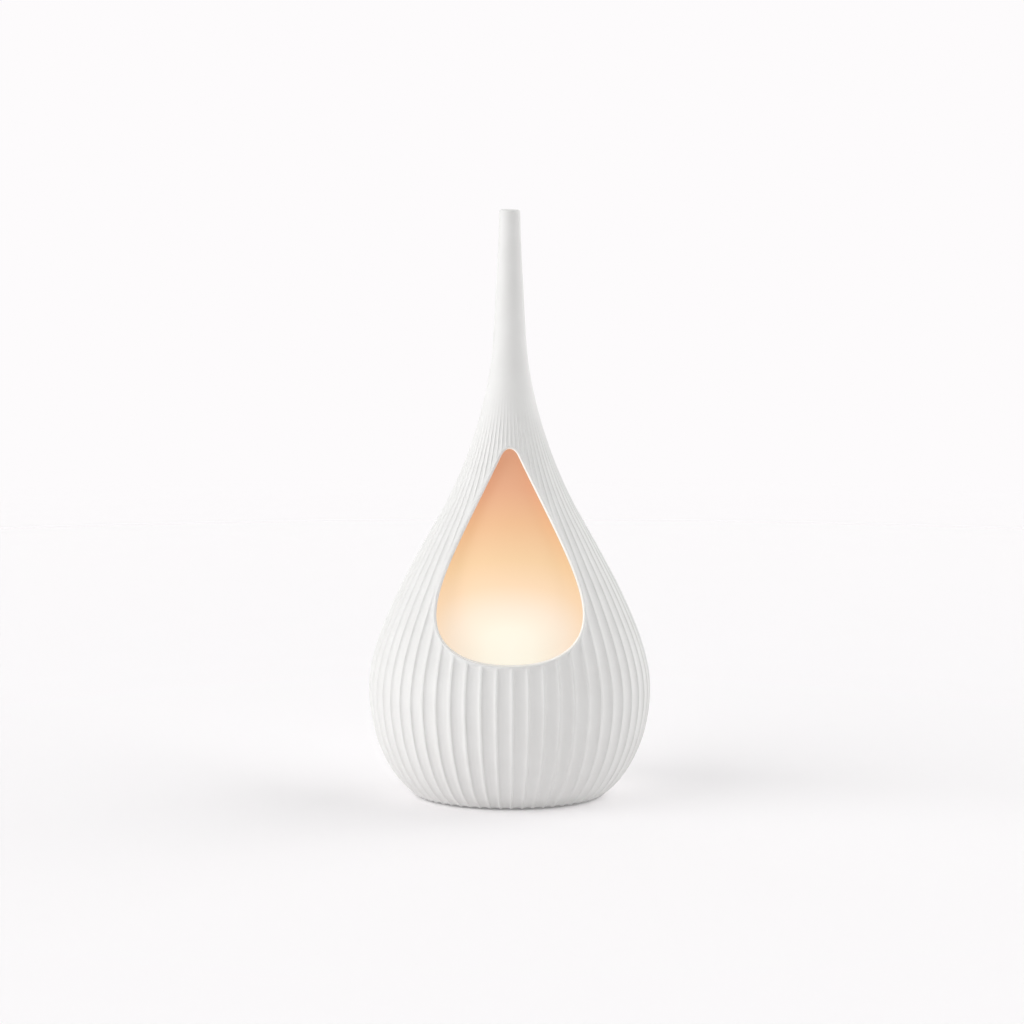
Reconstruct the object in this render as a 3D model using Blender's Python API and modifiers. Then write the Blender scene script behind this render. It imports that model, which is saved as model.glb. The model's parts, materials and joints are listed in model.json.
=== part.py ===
"""Cool mist humidifier: a ribbed teardrop shell that lifts off a round base unit.

The base unit holds the tank, the ultrasonic transducer, the fan, the lamps and the controls.
A translucent mist hood stands on the tank behind the shell's window and leads the mist to the neck.
All sizes are millimetres, scaled to metres as each mesh is made. +Z is up and the window faces -Y.
"""

import math

import bmesh
import bpy
from mathutils import Matrix, Vector

MM = 0.001
GAP = 0.3

# Outer shell: height and radius of the rib crests, from the foot to the tip.
CREST = (
    (1.5, 62.2),
    (10.0, 71.4),
    (24.0, 80.7),
    (45.0, 88.5),
    (72.0, 91.5),
    (98.0, 86.7),
    (130.0, 73.8),
    (165.0, 55.6),
    (195.0, 39.1),
    (225.0, 26.4),
    (255.0, 17.3),
    (285.0, 11.7),
    (330.0, 8.8),
    (380.0, 6.6),
)
SHELL_FOOT = CREST[0][0]
SHELL_TIP = CREST[-1][0]
CREST_MAX = 91.5
RIBS = 56
RIB_PHASE = math.radians(1.2)
FLUTE_DEPTH = 1.4
FLUTE_FADE = (225.0, 268.0)
WALL_BULB = 3.4
WALL_NECK = 2.0
WALL_TAPER = (200.0, 330.0)
SHELL_OPENING_R = 57.0
SHELL_LEDGE_Z = 3.8
SHELL_REBATE_R = 59.2
SHELL_HEEL = (5.5, 12.0)
SHELL_SIDES = 40

# Teardrop window: half width and height of each outline point with its two handles.
WINDOW_TIP = ((0.0, 228.0), (3.2, 228.0))
WINDOW_SHOULDER = ((6.3, 222.3), (4.9, 225.2), (29.7, 176.3))
WINDOW_SIDE = ((47.1, 126.0), (47.1, 146.0), (47.1, 106.0))
WINDOW_FOOT = ((0.0, 96.5), (30.0, 96.5))

# Base housing with its rear control pod, and the arched notch that the shell has for it.
HOUSING_R = 56.4
HOUSING_WALL = 2.4
HOUSING_Z = (3.8, 36.0)
POD_HALF = 23.0
POD_TOP = 30.0
POD_CORNER = 12.0
POD_INSET = 0.6
POD_FLOOR = 4.0
NOTCH_CLEARANCE = 1.0
PANEL_Y = (61.5, 64.0)
HOLLOW_HALF = 19.5
HOLLOW_Z = (9.0, 27.5)
POCKET_HALF = 19.0
POCKET_Z = (10.0, 26.0)
POCKET_CORNER = 8.0

# Controls on the pod's rear panel.
CONTROL_Z = 17.0
BUTTON_X = 12.0
BUTTON_R = 4.0
BUTTON_FLANGE_R = 5.2
BUTTON_FLANGE_Y = (60.3, 61.2)
BUTTON_FACE_Y = 66.0
BUTTON_HOLE_R = 4.4
CONTROL_BOARD_Y = (54.0, 55.6)
CONTROL_BOARD_HALF = 18.5
SWITCH_SIDE = 6.0
SWITCH_Y = (55.9, 58.4)
SWITCH_PLUNGER = (1.5, 59.0)
JACK_HALF = 4.6
JACK_Y = (55.9, 61.2)
JACK_NOSE = (4.2, 64.4)
JACK_HOLE_R = 4.6
JACK_BORE = (2.8, 1.0, 57.0)

# Bottom cover, feet and the four screws that join cover, housing and tank.
COVER_R = 58.6
COVER_Z = (1.5, 3.5)
COVER_RING = (51.9, 53.4, 6.0)
SCREW_CIRCLE = 47.0
SCREW_ANGLE = math.radians(75.0)
BOSS_R = 5.5
BOSS_TOP = 7.5
COUNTERBORE = (3.5, 5.0)
SCREW_HOLE_R = 1.8
FOOT_CIRCLE = 45.0
FOOT_ANGLE = math.radians(45.0)
FOOT_R = 5.5
FOOT_TOP = 1.8
FOOT_RECESS = (5.8, 2.1)
GRILLE_R = 17.5
GRILLE_SLOT = 2.8
GRILLE_PITCH = 5.0
GRILLE_SLOTS = 7

# Water tank.
TANK_R = 56.0
TANK_Z = (36.3, 74.0)
TANK_INNER_R = 53.2
TANK_FLOOR = (38.0, 40.5)
TANK_MOUTH = (51.0, 53.4, 80.0)
TANK_SHOULDER_Z = 71.0
TANK_FOOT = (51.2, 53.6, 30.0)
POST_R = 3.6
POST_FOOT = 7.8
POST_PILOT = (1.65, 17.0)
SNORKEL = (8.3, 9.8, 78.0)
TANK_SIDES = 40

# Transducer, held under the tank floor's centre hole by a bracket.
TRANSDUCER_HOLE_R = 8.0
DISC_R = 10.0
DISC_Z = (35.6, 36.4)
SEAL_R = (7.5, 12.5)
SEAL_Z = (34.2, 37.7)
SEAL_GROOVE_R = 10.3
BRACKET_Z = (32.7, 33.9)
BRACKET_R = 13.0
BRACKET_BAR = (39.0, 10.0)
BRACKET_HOLE_R = 6.0
LUG_X = 16.4
LUG_R = 3.0
LUG_PILOT = (1.5, 37.5)

# Lamp board.
LED_BOARD_R = (20.8, 29.4)
LED_BOARD_Z = (33.0, 34.6)
LED_CIRCLE = 25.1
LED_COUNT = 6
LED_R = 2.3
LED_TOP = 37.3

# Fan, plenum and the duct that carries its air up through the tank.
FAN_X = -26.0
FAN_SIDE = 40.0
FAN_Z = (3.8, 13.8)
FAN_BORE_R = 18.8
FAN_HUB_R = 8.6
FAN_SPIDER_TOP = 5.0
FAN_PIN = (1.2, 11.0)
FAN_STRUTS = 3
ROTOR_Z = (5.4, 12.8)
ROTOR_BORE = (1.5, 11.5)
BLADES = 7
BLADE_TIP_R = 18.0
BLADE_PITCH = math.radians(40.0)
BLADE_SIZE = (1.0, 7.0)
BLADE_Z = 9.4
PLENUM_Z = (14.1, 26.0)
PLENUM_WALL = 1.6
DUCT_X = -38.0
DUCT_R = (6.5, 8.0)
DUCT_Z = (26.3, 88.0)
DUCT_FLANGE = (9.5, 28.0)
DUCT_ROOF = 1.6
DUCT_SLOT = (6.0, 79.5, 84.5)

# Driver board and its parts.
BOARD_X = (2.0, 44.0)
BOARD_HALF_Y = 25.0
BOARD_Z = (10.0, 11.6)
BOARD_POST_R = 2.6
BOARD_POST_HOLE = (1.5, 5.5)
BOARD_POSTS = ((7.0, -20.0), (7.0, 20.0), (39.0, -20.0), (39.0, 20.0))
BOARD_SCREWED = (BOARD_POSTS[0], BOARD_POSTS[3])
INDUCTOR_AT = (14.0, 12.0)
CAPACITOR_AT = (34.0, -14.0)
HEAT_SINK_AT = (33.0, 9.0)
SINK_SLOT = 2.4
SINK_PITCH = 3.6
CHIP_AT = (20.0, -4.0)
PART_BASE = BOARD_Z[1] + GAP

# Water level float on a post in the tank.
FLOAT_X = 36.0
FLOAT_POST = (2.0, 70.0)
FLOAT_R = (2.6, 8.0)
FLOAT_Z = (42.0, 54.0)
MAGNET_R = (3.4, 5.4)
MAGNET_Z = (42.3, 45.0)
FLOAT_CAP = (4.0, 65.0, 72.0)
REED_SIZE = (10.0, 3.0, 2.7)
REED_Z = 34.9

# Mist hood: height and outer radius, from the chimney's mouth down to the rim.
HOOD = (
    (262.0, 7.5),
    (246.0, 7.5),
    (238.0, 9.8),
    (215.0, 21.0),
    (190.0, 32.8),
    (168.0, 43.0),
    (150.0, 49.6),
    (134.0, 53.8),
    (118.0, 55.6),
    (76.1, 55.6),
)
HOOD_WALL = 1.9
CHIMNEY_WALL = 1.5
HOOD_SEAL_R = (53.7, 55.8)
HOOD_SEAL_Z = (74.3, 75.8)
NECK_SEAL_Z = (250.0, 256.0)
NECK_SEAL_R = 7.8
NECK_SEAL_CLEARANCE = 0.5

LEAD_R = 0.8
LEAD_STEPS = 3
FAR = 130.0


# ---------------------------------------------------------------- scene and materials


def clear_scene():
    for obj in list(bpy.data.objects):
        bpy.data.objects.remove(obj, do_unlink=True)


def new_collection(name):
    collection = bpy.data.collections.new(name)
    bpy.context.scene.collection.children.link(collection)
    return collection


def finish(name, colour, roughness, metallic=0.0, transmission=0.0):
    """A Principled material; transmission makes it frosted plastic."""
    material = bpy.data.materials.new(name)
    material.use_nodes = True
    shader = material.node_tree.nodes["Principled BSDF"]
    shader.inputs["Base Color"].default_value = (*colour, 1.0)
    shader.inputs["Roughness"].default_value = roughness
    shader.inputs["Metallic"].default_value = metallic
    shader.inputs["Transmission Weight"].default_value = transmission
    material.diffuse_color = (*colour, 1.0)
    return material


clear_scene()
PARTS = new_collection("cool_mist_humidifier")
CUTTERS = new_collection("cutters")

BISQUE = finish("bisque_ceramic", (0.86, 0.86, 0.85), 0.62)
HOUSING_PLASTIC = finish("housing_plastic", (0.84, 0.84, 0.83), 0.5)
COVER_PLASTIC = finish("cover_plastic", (0.72, 0.72, 0.71), 0.55)
BUTTON_PLASTIC = finish("button_plastic", (0.9, 0.9, 0.89), 0.35)
DARK_PLASTIC = finish("dark_plastic", (0.05, 0.05, 0.055), 0.45)
CLEAR_PLASTIC = finish("tank_plastic", (0.86, 0.9, 0.92), 0.2, transmission=0.6)
FROSTED_PLASTIC = finish("hood_plastic", (1.0, 0.85, 0.66), 0.45, transmission=0.4)
RUBBER = finish("grey_rubber", (0.3, 0.3, 0.3), 0.85)
SILICONE = finish("white_silicone", (0.85, 0.85, 0.83), 0.6)
STEEL = finish("screw_steel", (0.62, 0.62, 0.62), 0.3, metallic=1.0)
ALUMINIUM = finish("aluminium", (0.78, 0.78, 0.79), 0.35, metallic=1.0)
BRASS = finish("transducer_brass", (0.78, 0.6, 0.3), 0.3, metallic=1.0)
BOARD = finish("circuit_board", (0.03, 0.2, 0.1), 0.5)
LAMP = finish("lamp_lens", (1.0, 0.86, 0.6), 0.2)
FERRITE = finish("ferrite", (0.16, 0.15, 0.15), 0.7)
LEAD_SHEATH = finish("lead_sheath", (0.5, 0.5, 0.5), 0.5)
FOAM = finish("float_foam", (0.92, 0.92, 0.9), 0.7)


# ---------------------------------------------------------------- modelling helpers


def empty(name, place):
    """The origin of one moving body, on its joint's axis."""
    obj = bpy.data.objects.new(name, None)
    obj.location = Vector(place) * MM
    PARTS.objects.link(obj)
    return obj


BASE = empty("base_origin", (0, 0, 0))
SHELL = empty("shell_origin", (0, 0, 0))
HOOD_BODY = empty("hood_origin", (0, 0, 0))
ROTOR = empty("rotor_axis", (FAN_X, 0, 0))
POWER = empty("power_button_axis", (-BUTTON_X, 0, CONTROL_Z))
LIGHT = empty("light_button_axis", (BUTTON_X, 0, CONTROL_Z))
FLOAT = empty("float_axis", (FLOAT_X, 0, 0))


def place_part(obj, body, material, place):
    """Parents a part to its body's empty, at a place given in the object's own frame."""
    obj.parent = body
    obj.location = Vector(place) * MM - body.location
    obj.data.materials.clear()
    obj.data.materials.append(material)
    return obj


def smooth(mesh):
    mesh.shade_smooth()
    mesh.set_sharp_from_angle(angle=math.radians(35))


def mesh_object(name, build, collection=PARTS):
    """An object whose mesh is filled in by build, which works in millimetres."""
    work = bmesh.new()
    build(work)
    bmesh.ops.scale(work, vec=(MM, MM, MM), verts=work.verts)
    mesh = bpy.data.meshes.new(name)
    work.to_mesh(mesh)
    work.free()
    obj = bpy.data.objects.new(name, mesh)
    collection.objects.link(obj)
    return obj


def add_cylinder(work, radius, z0, z1, at=(0.0, 0.0), sides=20):
    """Adds a closed upright cylinder to a bmesh."""
    middle = Matrix.Translation((at[0], at[1], (z0 + z1) / 2))
    bmesh.ops.create_cone(
        work,
        cap_ends=True,
        segments=sides,
        radius1=radius,
        radius2=radius,
        depth=z1 - z0,
        matrix=middle,
    )


def add_box(work, low, high, turn=None):
    """Adds a closed box between two corners, turned about its own middle if asked."""
    low = Vector(low)
    high = Vector(high)
    place = Matrix.Translation((low + high) / 2)
    if turn is not None:
        place = place @ turn
    size = Matrix.Diagonal((*(high - low), 1.0))
    bmesh.ops.create_cube(work, size=1.0, matrix=place @ size)


def cylinder(name, radius, z0, z1, at=(0.0, 0.0), sides=20, collection=PARTS):
    return mesh_object(name, lambda work: add_cylinder(work, radius, z0, z1, at, sides), collection)


def box(name, low, high, bevel=0.0, collection=PARTS):
    obj = mesh_object(name, lambda work: add_box(work, low, high), collection)
    if bevel:
        rounding = obj.modifiers.new("edges", "BEVEL")
        rounding.width = bevel * MM
        rounding.segments = 1
    return obj


def applied(obj):
    """Turns an object's evaluated shape into its own plain mesh."""
    graph = bpy.context.evaluated_depsgraph_get()
    mesh = bpy.data.meshes.new_from_object(obj.evaluated_get(graph))
    if obj.type == "MESH":
        obj.modifiers.clear()
        obj.data = mesh
        return obj
    solid = bpy.data.objects.new(obj.name, mesh)
    solid.matrix_world = obj.matrix_world
    for collection in obj.users_collection:
        collection.objects.link(solid)
    name = obj.name
    bpy.data.objects.remove(obj, do_unlink=True)
    solid.name = name
    work = bmesh.new()
    work.from_mesh(mesh)
    bmesh.ops.remove_doubles(work, verts=work.verts, dist=1e-6)
    bmesh.ops.dissolve_limit(work, angle_limit=math.radians(0.1), verts=work.verts, edges=work.edges)
    bmesh.ops.recalc_face_normals(work, faces=work.faces)
    work.to_mesh(mesh)
    work.free()
    return solid


def turned(name, profile, sides=20, collection=PARTS):
    """A turned solid. The profile (radius, height) runs down its outer side.

    It closes on the axis, or on itself when it keeps clear of the axis.
    """
    mesh = bpy.data.meshes.new(name)
    points = [(radius * MM, 0.0, height * MM) for radius, height in profile]
    edges = [(i, i + 1) for i in range(len(points) - 1)]
    if profile[0][0] > 0:
        edges.append((len(points) - 1, 0))
    mesh.from_pydata(points, edges, [])
    obj = bpy.data.objects.new(name, mesh)
    collection.objects.link(obj)
    screw = obj.modifiers.new("turn", "SCREW")
    screw.axis = "Z"
    screw.steps = sides
    screw.render_steps = sides
    screw.use_merge_vertices = True
    screw.merge_threshold = 1e-5
    applied(obj)
    smooth(obj.data)
    return obj


def along_y(obj):
    """Lays a solid built along +Z so that its axis runs along +Y."""
    obj.data.transform(Matrix.Rotation(math.radians(-90), 4, "X"))
    return obj


def outline_prism(name, points, y0, y1, steps=6):
    """A prism along Y. Each outline point is (place, left handle, right handle) in X and Z."""
    curve = bpy.data.curves.new(name, "CURVE")
    curve.dimensions = "2D"
    curve.fill_mode = "BOTH"
    curve.extrude = (y1 - y0) / 2 * MM
    curve.resolution_u = steps
    spline = curve.splines.new("BEZIER")
    spline.bezier_points.add(len(points) - 1)
    spline.use_cyclic_u = True
    for knot, (place, left, right) in zip(spline.bezier_points, points):
        knot.handle_left_type = "FREE"
        knot.handle_right_type = "FREE"
        knot.co = (place[0] * MM, place[1] * MM, 0.0)
        knot.handle_left = (left[0] * MM, left[1] * MM, 0.0)
        knot.handle_right = (right[0] * MM, right[1] * MM, 0.0)
    obj = bpy.data.objects.new(name, curve)
    CUTTERS.objects.link(obj)
    obj.rotation_euler = (math.radians(90), 0.0, 0.0)
    obj.location = (0.0, (y0 + y1) / 2 * MM, 0.0)
    bpy.context.view_layer.update()
    return applied(obj)


def arch(half, low, high, corner):
    """Outline points of an arch: square at the foot, with round upper corners."""
    pull = corner * 0.5523
    left_foot = ((-half, low), (-half, low), (-half, low))
    right_foot = ((half, low), (half, low), (half, low))
    right_side = ((half, high - corner), (half, high - corner), (half, high - corner + pull))
    right_top = ((half - corner, high), (half - corner + pull, high), (half - corner, high))
    left_top = ((corner - half, high), (corner - half, high), (corner - half - pull, high))
    left_side = ((-half, high - corner), (-half, high - corner + pull), (-half, high - corner))
    return (left_foot, right_foot, right_side, right_top, left_top, left_side)


def join_or_cut(obj, other, operation):
    """One exact Boolean; the helper stays in the cutters' collection, out of the render."""
    if other.name not in CUTTERS.objects:
        for collection in other.users_collection:
            collection.objects.unlink(other)
        CUTTERS.objects.link(other)
    other.hide_render = True
    other.display_type = "WIRE"
    step = obj.modifiers.new(other.name, "BOOLEAN")
    step.operation = operation
    step.solver = "EXACT"
    step.object = other
    return obj


def cut(obj, other):
    return join_or_cut(obj, other, "DIFFERENCE")


def join(obj, other):
    return join_or_cut(obj, other, "UNION")


def around(radius, angle):
    """The four places at plus and minus one angle, front and back."""
    x = radius * math.cos(angle)
    y = radius * math.sin(angle)
    return ((x, y), (-x, y), (-x, -y), (x, -y))


def lead(name, route):
    """A thin lead along a smooth curve through the route's points."""
    points = []
    for i in range(len(route) - 1):
        before = Vector(route[max(i - 1, 0)])
        start = Vector(route[i])
        end = Vector(route[i + 1])
        after = Vector(route[min(i + 2, len(route) - 1)])
        for step in range(LEAD_STEPS):
            t = step / LEAD_STEPS
            bend = 2 * before - 5 * start + 4 * end - after
            twist = 3 * start - 3 * end + after - before
            points.append(start + ((end - before) * t + bend * t * t + twist * t**3) / 2)
    points.append(Vector(route[-1]))
    curve = bpy.data.curves.new(name, "CURVE")
    curve.dimensions = "3D"
    curve.bevel_depth = LEAD_R * MM
    curve.bevel_resolution = 1
    curve.use_fill_caps = True
    spline = curve.splines.new("POLY")
    spline.points.add(len(points) - 1)
    for knot, point in zip(spline.points, points):
        knot.co = (*(point * MM), 1.0)
    obj = bpy.data.objects.new(name, curve)
    PARTS.objects.link(obj)
    return obj


# ---------------------------------------------------------------- outer shell


def crest_radius(height):
    """Smooth radius of the rib crests: a cubic Hermite curve through CREST."""
    i = 0
    while i < len(CREST) - 2 and height > CREST[i + 1][0]:
        i += 1

    def slope(k):
        low = max(k - 1, 0)
        high = min(k + 1, len(CREST) - 1)
        return (CREST[high][1] - CREST[low][1]) / (CREST[high][0] - CREST[low][0])

    (z0, r0), (z1, r1) = CREST[i], CREST[i + 1]
    span = z1 - z0
    t = (height - z0) / span
    along = (t**3 - 2 * t * t + t) * slope(i) + (t**3 - t * t) * slope(i + 1)
    return (2 * t**3 - 3 * t * t + 1) * r0 + (3 * t * t - 2 * t**3) * r1 + along * span


def ease(low, high, value):
    """0 at low, 1 at high, smooth between."""
    t = min(max((value - low) / (high - low), 0.0), 1.0)
    return t * t * (3 - 2 * t)


def flute_depth(height):
    fade = 1.0 - ease(FLUTE_FADE[0], FLUTE_FADE[1], height)
    return FLUTE_DEPTH * crest_radius(height) / CREST_MAX * fade


def inner_radius(height):
    thinner = ease(WALL_TAPER[0], WALL_TAPER[1], height)
    wall = WALL_BULB + (WALL_NECK - WALL_BULB) * thinner
    return crest_radius(height) - flute_depth(height) - wall


def ribbed_blank():
    """The shell's solid outer form: one crest and one valley for each rib."""
    levels = [height for height, _ in reversed(CREST)]
    profile = [(0.0, SHELL_TIP)]
    profile += [(crest_radius(height), height) for height in levels]
    profile += [(0.0, SHELL_FOOT)]
    blank = turned("outer_shell", profile, sides=2 * RIBS)
    half_pitch = math.pi / RIBS
    for vertex in blank.data.vertices:
        x, y, z = vertex.co
        radius = math.hypot(x, y)
        if radius < 1e-6:
            continue
        column = round(math.atan2(y, x) / half_pitch)
        depth = flute_depth(z / MM) * MM * (column % 2)
        vertex.co.x = x * (radius - depth) / radius
        vertex.co.y = y * (radius - depth) / radius
    blank.data.transform(Matrix.Rotation(RIB_PHASE - math.pi / 2, 4, "Z"))
    return blank


def shell_cavity():
    levels = [height for height, _ in reversed(CREST) if SHELL_HEEL[1] < height < SHELL_TIP]
    tip = inner_radius(SHELL_TIP)
    profile = [(0.0, SHELL_TIP + 1), (tip, SHELL_TIP + 1), (tip, SHELL_TIP)]
    profile += [(inner_radius(height), height) for height in levels]
    profile += [(inner_radius(SHELL_HEEL[1]), SHELL_HEEL[1])]
    profile += [(SHELL_OPENING_R, SHELL_HEEL[0]), (SHELL_OPENING_R, SHELL_LEDGE_Z)]
    profile += [(SHELL_REBATE_R, SHELL_LEDGE_Z), (SHELL_REBATE_R, 0.0), (0.0, 0.0)]
    return turned("shell_cavity", profile, sides=SHELL_SIDES, collection=CUTTERS)


def mirrored(point):
    return (-point[0], point[1])


def window_outline():
    """The teardrop, from its tip down the right side and back up the left."""
    tip, tip_pull = WINDOW_TIP
    shoulder, shoulder_up, shoulder_down = WINDOW_SHOULDER
    side, side_up, side_down = WINDOW_SIDE
    foot, foot_pull = WINDOW_FOOT
    return (
        (tip, mirrored(tip_pull), tip_pull),
        (shoulder, shoulder_up, shoulder_down),
        (side, side_up, side_down),
        (foot, foot_pull, mirrored(foot_pull)),
        (mirrored(side), mirrored(side_down), mirrored(side_up)),
        (mirrored(shoulder), mirrored(shoulder_down), mirrored(shoulder_up)),
    )


def outer_shell():
    shell = ribbed_blank()
    cut(shell, shell_cavity())
    cut(shell, outline_prism("window_cut", window_outline(), -FAR, -10.0, steps=8))
    grow = NOTCH_CLEARANCE
    notch = arch(POD_HALF + grow, -5.0, POD_TOP + grow, POD_CORNER + grow)
    cut(shell, outline_prism("notch_cut", notch, 45.0, FAR, steps=4))
    place_part(shell, SHELL, BISQUE, (0, 0, 0))


# ---------------------------------------------------------------- housing, cover and feet


def pod_block():
    """The rear pod: a slice of ring that follows the shell's flutes, trimmed to an arch."""
    inner = HOUSING_R - HOUSING_WALL / 2
    levels = (POD_TOP + 4, 24.0, 17.0, 10.0, POD_FLOOR - 2)
    profile = [(crest_radius(z) - flute_depth(z) - POD_INSET, z) for z in levels]
    profile += [(inner, levels[-1]), (inner, levels[0])]
    pod = turned("pod_block", profile, sides=2 * TANK_SIDES, collection=CUTTERS)
    trim = outline_prism("pod_trim", arch(POD_HALF, POD_FLOOR, POD_TOP, POD_CORNER), 40.0, FAR, steps=4)
    return applied(join_or_cut(pod, trim, "INTERSECT"))


def panel_holes():
    """Holes for the two buttons and the jack."""

    def build(work):
        add_cylinder(work, BUTTON_HOLE_R, PANEL_Y[0] - 1, PANEL_Y[1] + 1, (-BUTTON_X, -CONTROL_Z))
        add_cylinder(work, BUTTON_HOLE_R, PANEL_Y[0] - 1, PANEL_Y[1] + 1, (BUTTON_X, -CONTROL_Z))
        add_cylinder(work, JACK_HOLE_R, PANEL_Y[0] - 1, PANEL_Y[1] + 1, (0, -CONTROL_Z))

    return along_y(mesh_object("panel_holes", build, CUTTERS))


def base_housing():
    low, high = HOUSING_Z
    inner = HOUSING_R - HOUSING_WALL
    profile = ((HOUSING_R, high), (HOUSING_R, low), (inner, low), (inner, high))
    housing = turned("base_housing", profile, sides=TANK_SIDES)
    join(housing, pod_block())
    hollow = arch(HOLLOW_HALF, HOLLOW_Z[0], HOLLOW_Z[1], POCKET_CORNER)
    cut(housing, outline_prism("pod_hollow", hollow, 35.0, PANEL_Y[0], steps=4))
    pocket = arch(POCKET_HALF, POCKET_Z[0], POCKET_Z[1], POCKET_CORNER)
    cut(housing, outline_prism("pod_pocket", pocket, PANEL_Y[1], FAR, steps=4))
    cut(housing, panel_holes())
    place_part(housing, BASE, HOUSING_PLASTIC, (0, 0, 0))


def cover_posts():
    """Screw bosses at the rim and posts under the driver board."""

    def build(work):
        for at in around(SCREW_CIRCLE, SCREW_ANGLE):
            add_cylinder(work, BOSS_R, COVER_Z[0] + 1, BOSS_TOP, at, sides=16)
        for at in BOARD_POSTS:
            add_cylinder(work, BOARD_POST_R, COVER_Z[0] + 1, BOARD_Z[0] - GAP, at, sides=12)

    return mesh_object("cover_posts", build, CUTTERS)


def cover_holes():
    """Counterbores, pilot holes, foot recesses and the fan's intake slots."""

    def build(work):
        for at in around(SCREW_CIRCLE, SCREW_ANGLE):
            add_cylinder(work, COUNTERBORE[0], 0.0, COUNTERBORE[1], at, sides=12)
        for at in around(FOOT_CIRCLE, FOOT_ANGLE):
            add_cylinder(work, FOOT_RECESS[0], 0.0, FOOT_RECESS[1], at, sides=16)
        for at in BOARD_SCREWED:
            add_cylinder(work, BOARD_POST_HOLE[0], BOARD_POST_HOLE[1], BOARD_Z[1], at, sides=12)
        for slot in range(GRILLE_SLOTS):
            across = (slot - (GRILLE_SLOTS - 1) / 2) * GRILLE_PITCH
            half = math.sqrt(GRILLE_R**2 - across**2)
            low = (FAN_X - half, across - GRILLE_SLOT / 2, 0.0)
            high = (FAN_X + half, across + GRILLE_SLOT / 2, COVER_Z[1] + 0.2)
            add_box(work, low, high)

    return mesh_object("cover_holes", build, CUTTERS)


def screw_clearances():
    def build(work):
        for at in around(SCREW_CIRCLE, SCREW_ANGLE):
            add_cylinder(work, SCREW_HOLE_R, COUNTERBORE[1] - 1, BOSS_TOP + 1, at, sides=12)

    return mesh_object("screw_clearances", build, CUTTERS)


def bottom_cover():
    low, high = COVER_Z
    ring_in, ring_out, ring_top = COVER_RING
    profile = [(0.0, high), (ring_in, high), (ring_in, ring_top), (ring_out, ring_top)]
    profile += [(ring_out, high), (COVER_R, high), (COVER_R, low), (0.0, low)]
    cover = turned("bottom_cover", profile, sides=SHELL_SIDES)
    join(cover, cover_posts())
    cut(cover, cover_holes())
    cut(cover, screw_clearances())
    place_part(cover, BASE, COVER_PLASTIC, (0, 0, 0))


def feet():
    profile = ((0.0, FOOT_TOP), (FOOT_R, FOOT_TOP), (FOOT_R, 0.6), (FOOT_R - 0.6, 0.0), (0.0, 0.0))
    for number, (x, y) in enumerate(around(FOOT_CIRCLE, FOOT_ANGLE), 1):
        foot = turned(f"foot_{number}", profile, sides=16)
        place_part(foot, BASE, RUBBER, (x, y, 0))


def screw(name, at, head, shank, tip_z, head_z):
    """A screw on a vertical axis; its head is at the end with the lower number in head_z."""
    radius, inner = head
    low, high = head_z
    if tip_z > high:
        profile = [(0.0, tip_z), (shank * 0.4, tip_z), (shank, tip_z - 1), (shank, high)]
        profile += [(radius, high), (radius, low + 0.3), (inner, low), (0.0, low)]
    else:
        profile = [(0.0, high), (inner, high), (radius, high - 0.3), (radius, low), (shank, low)]
        profile += [(shank, tip_z + 1), (shank * 0.4, tip_z), (0.0, tip_z)]
    place_part(turned(name, profile, sides=12), BASE, STEEL, (*at, 0))


def screws():
    for number, at in enumerate(around(SCREW_CIRCLE, SCREW_ANGLE), 1):
        screw(f"cover_screw_{number}", at, (3.1, 2.6), 1.3, 16.0, (3.1, 4.7))
    for number, side in enumerate((-1, 1), 1):
        screw(f"bracket_screw_{number}", (side * LUG_X, 0), (2.4, 2.0), 1.1, 37.0, (30.9, 32.4))
    for number, at in enumerate(BOARD_SCREWED, 1):
        screw(f"board_screw_{number}", at, (2.4, 2.0), 1.1, 6.0, (PART_BASE, PART_BASE + 1.5))


# ---------------------------------------------------------------- tank and transducer


def tank_posts():
    """Everything moulded onto the tank's floor: posts, lugs, snorkel and the float's post."""

    def build(work):
        for at in around(SCREW_CIRCLE, SCREW_ANGLE):
            add_cylinder(work, POST_R, POST_FOOT, TANK_FLOOR[0] + 1, at, sides=16)
        for side in (-1, 1):
            add_cylinder(work, LUG_R, SEAL_Z[0], TANK_FLOOR[0] + 1, (side * LUG_X, 0), sides=16)
        add_cylinder(work, SNORKEL[1], TANK_FLOOR[0] + 0.5, SNORKEL[2], (DUCT_X, 0))
        add_cylinder(work, FLOAT_POST[0], TANK_FLOOR[0] + 1, FLOAT_POST[1], (FLOAT_X, 0), sides=16)

    return mesh_object("tank_posts", build, CUTTERS)


def tank_holes():
    def build(work):
        add_cylinder(work, TRANSDUCER_HOLE_R, TANK_FLOOR[0] - 1, TANK_FLOOR[1] + 1)
        add_cylinder(work, SNORKEL[0], TANK_FLOOR[0] - 1, SNORKEL[2] + 1, (DUCT_X, 0))
        for at in around(SCREW_CIRCLE, SCREW_ANGLE):
            add_cylinder(work, POST_PILOT[0], POST_FOOT - 1, POST_PILOT[1], at, sides=12)
        for side in (-1, 1):
            add_cylinder(work, LUG_PILOT[0], SEAL_Z[0] - 1, LUG_PILOT[1], (side * LUG_X, 0), sides=12)

    return mesh_object("tank_holes", build, CUTTERS)


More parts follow.
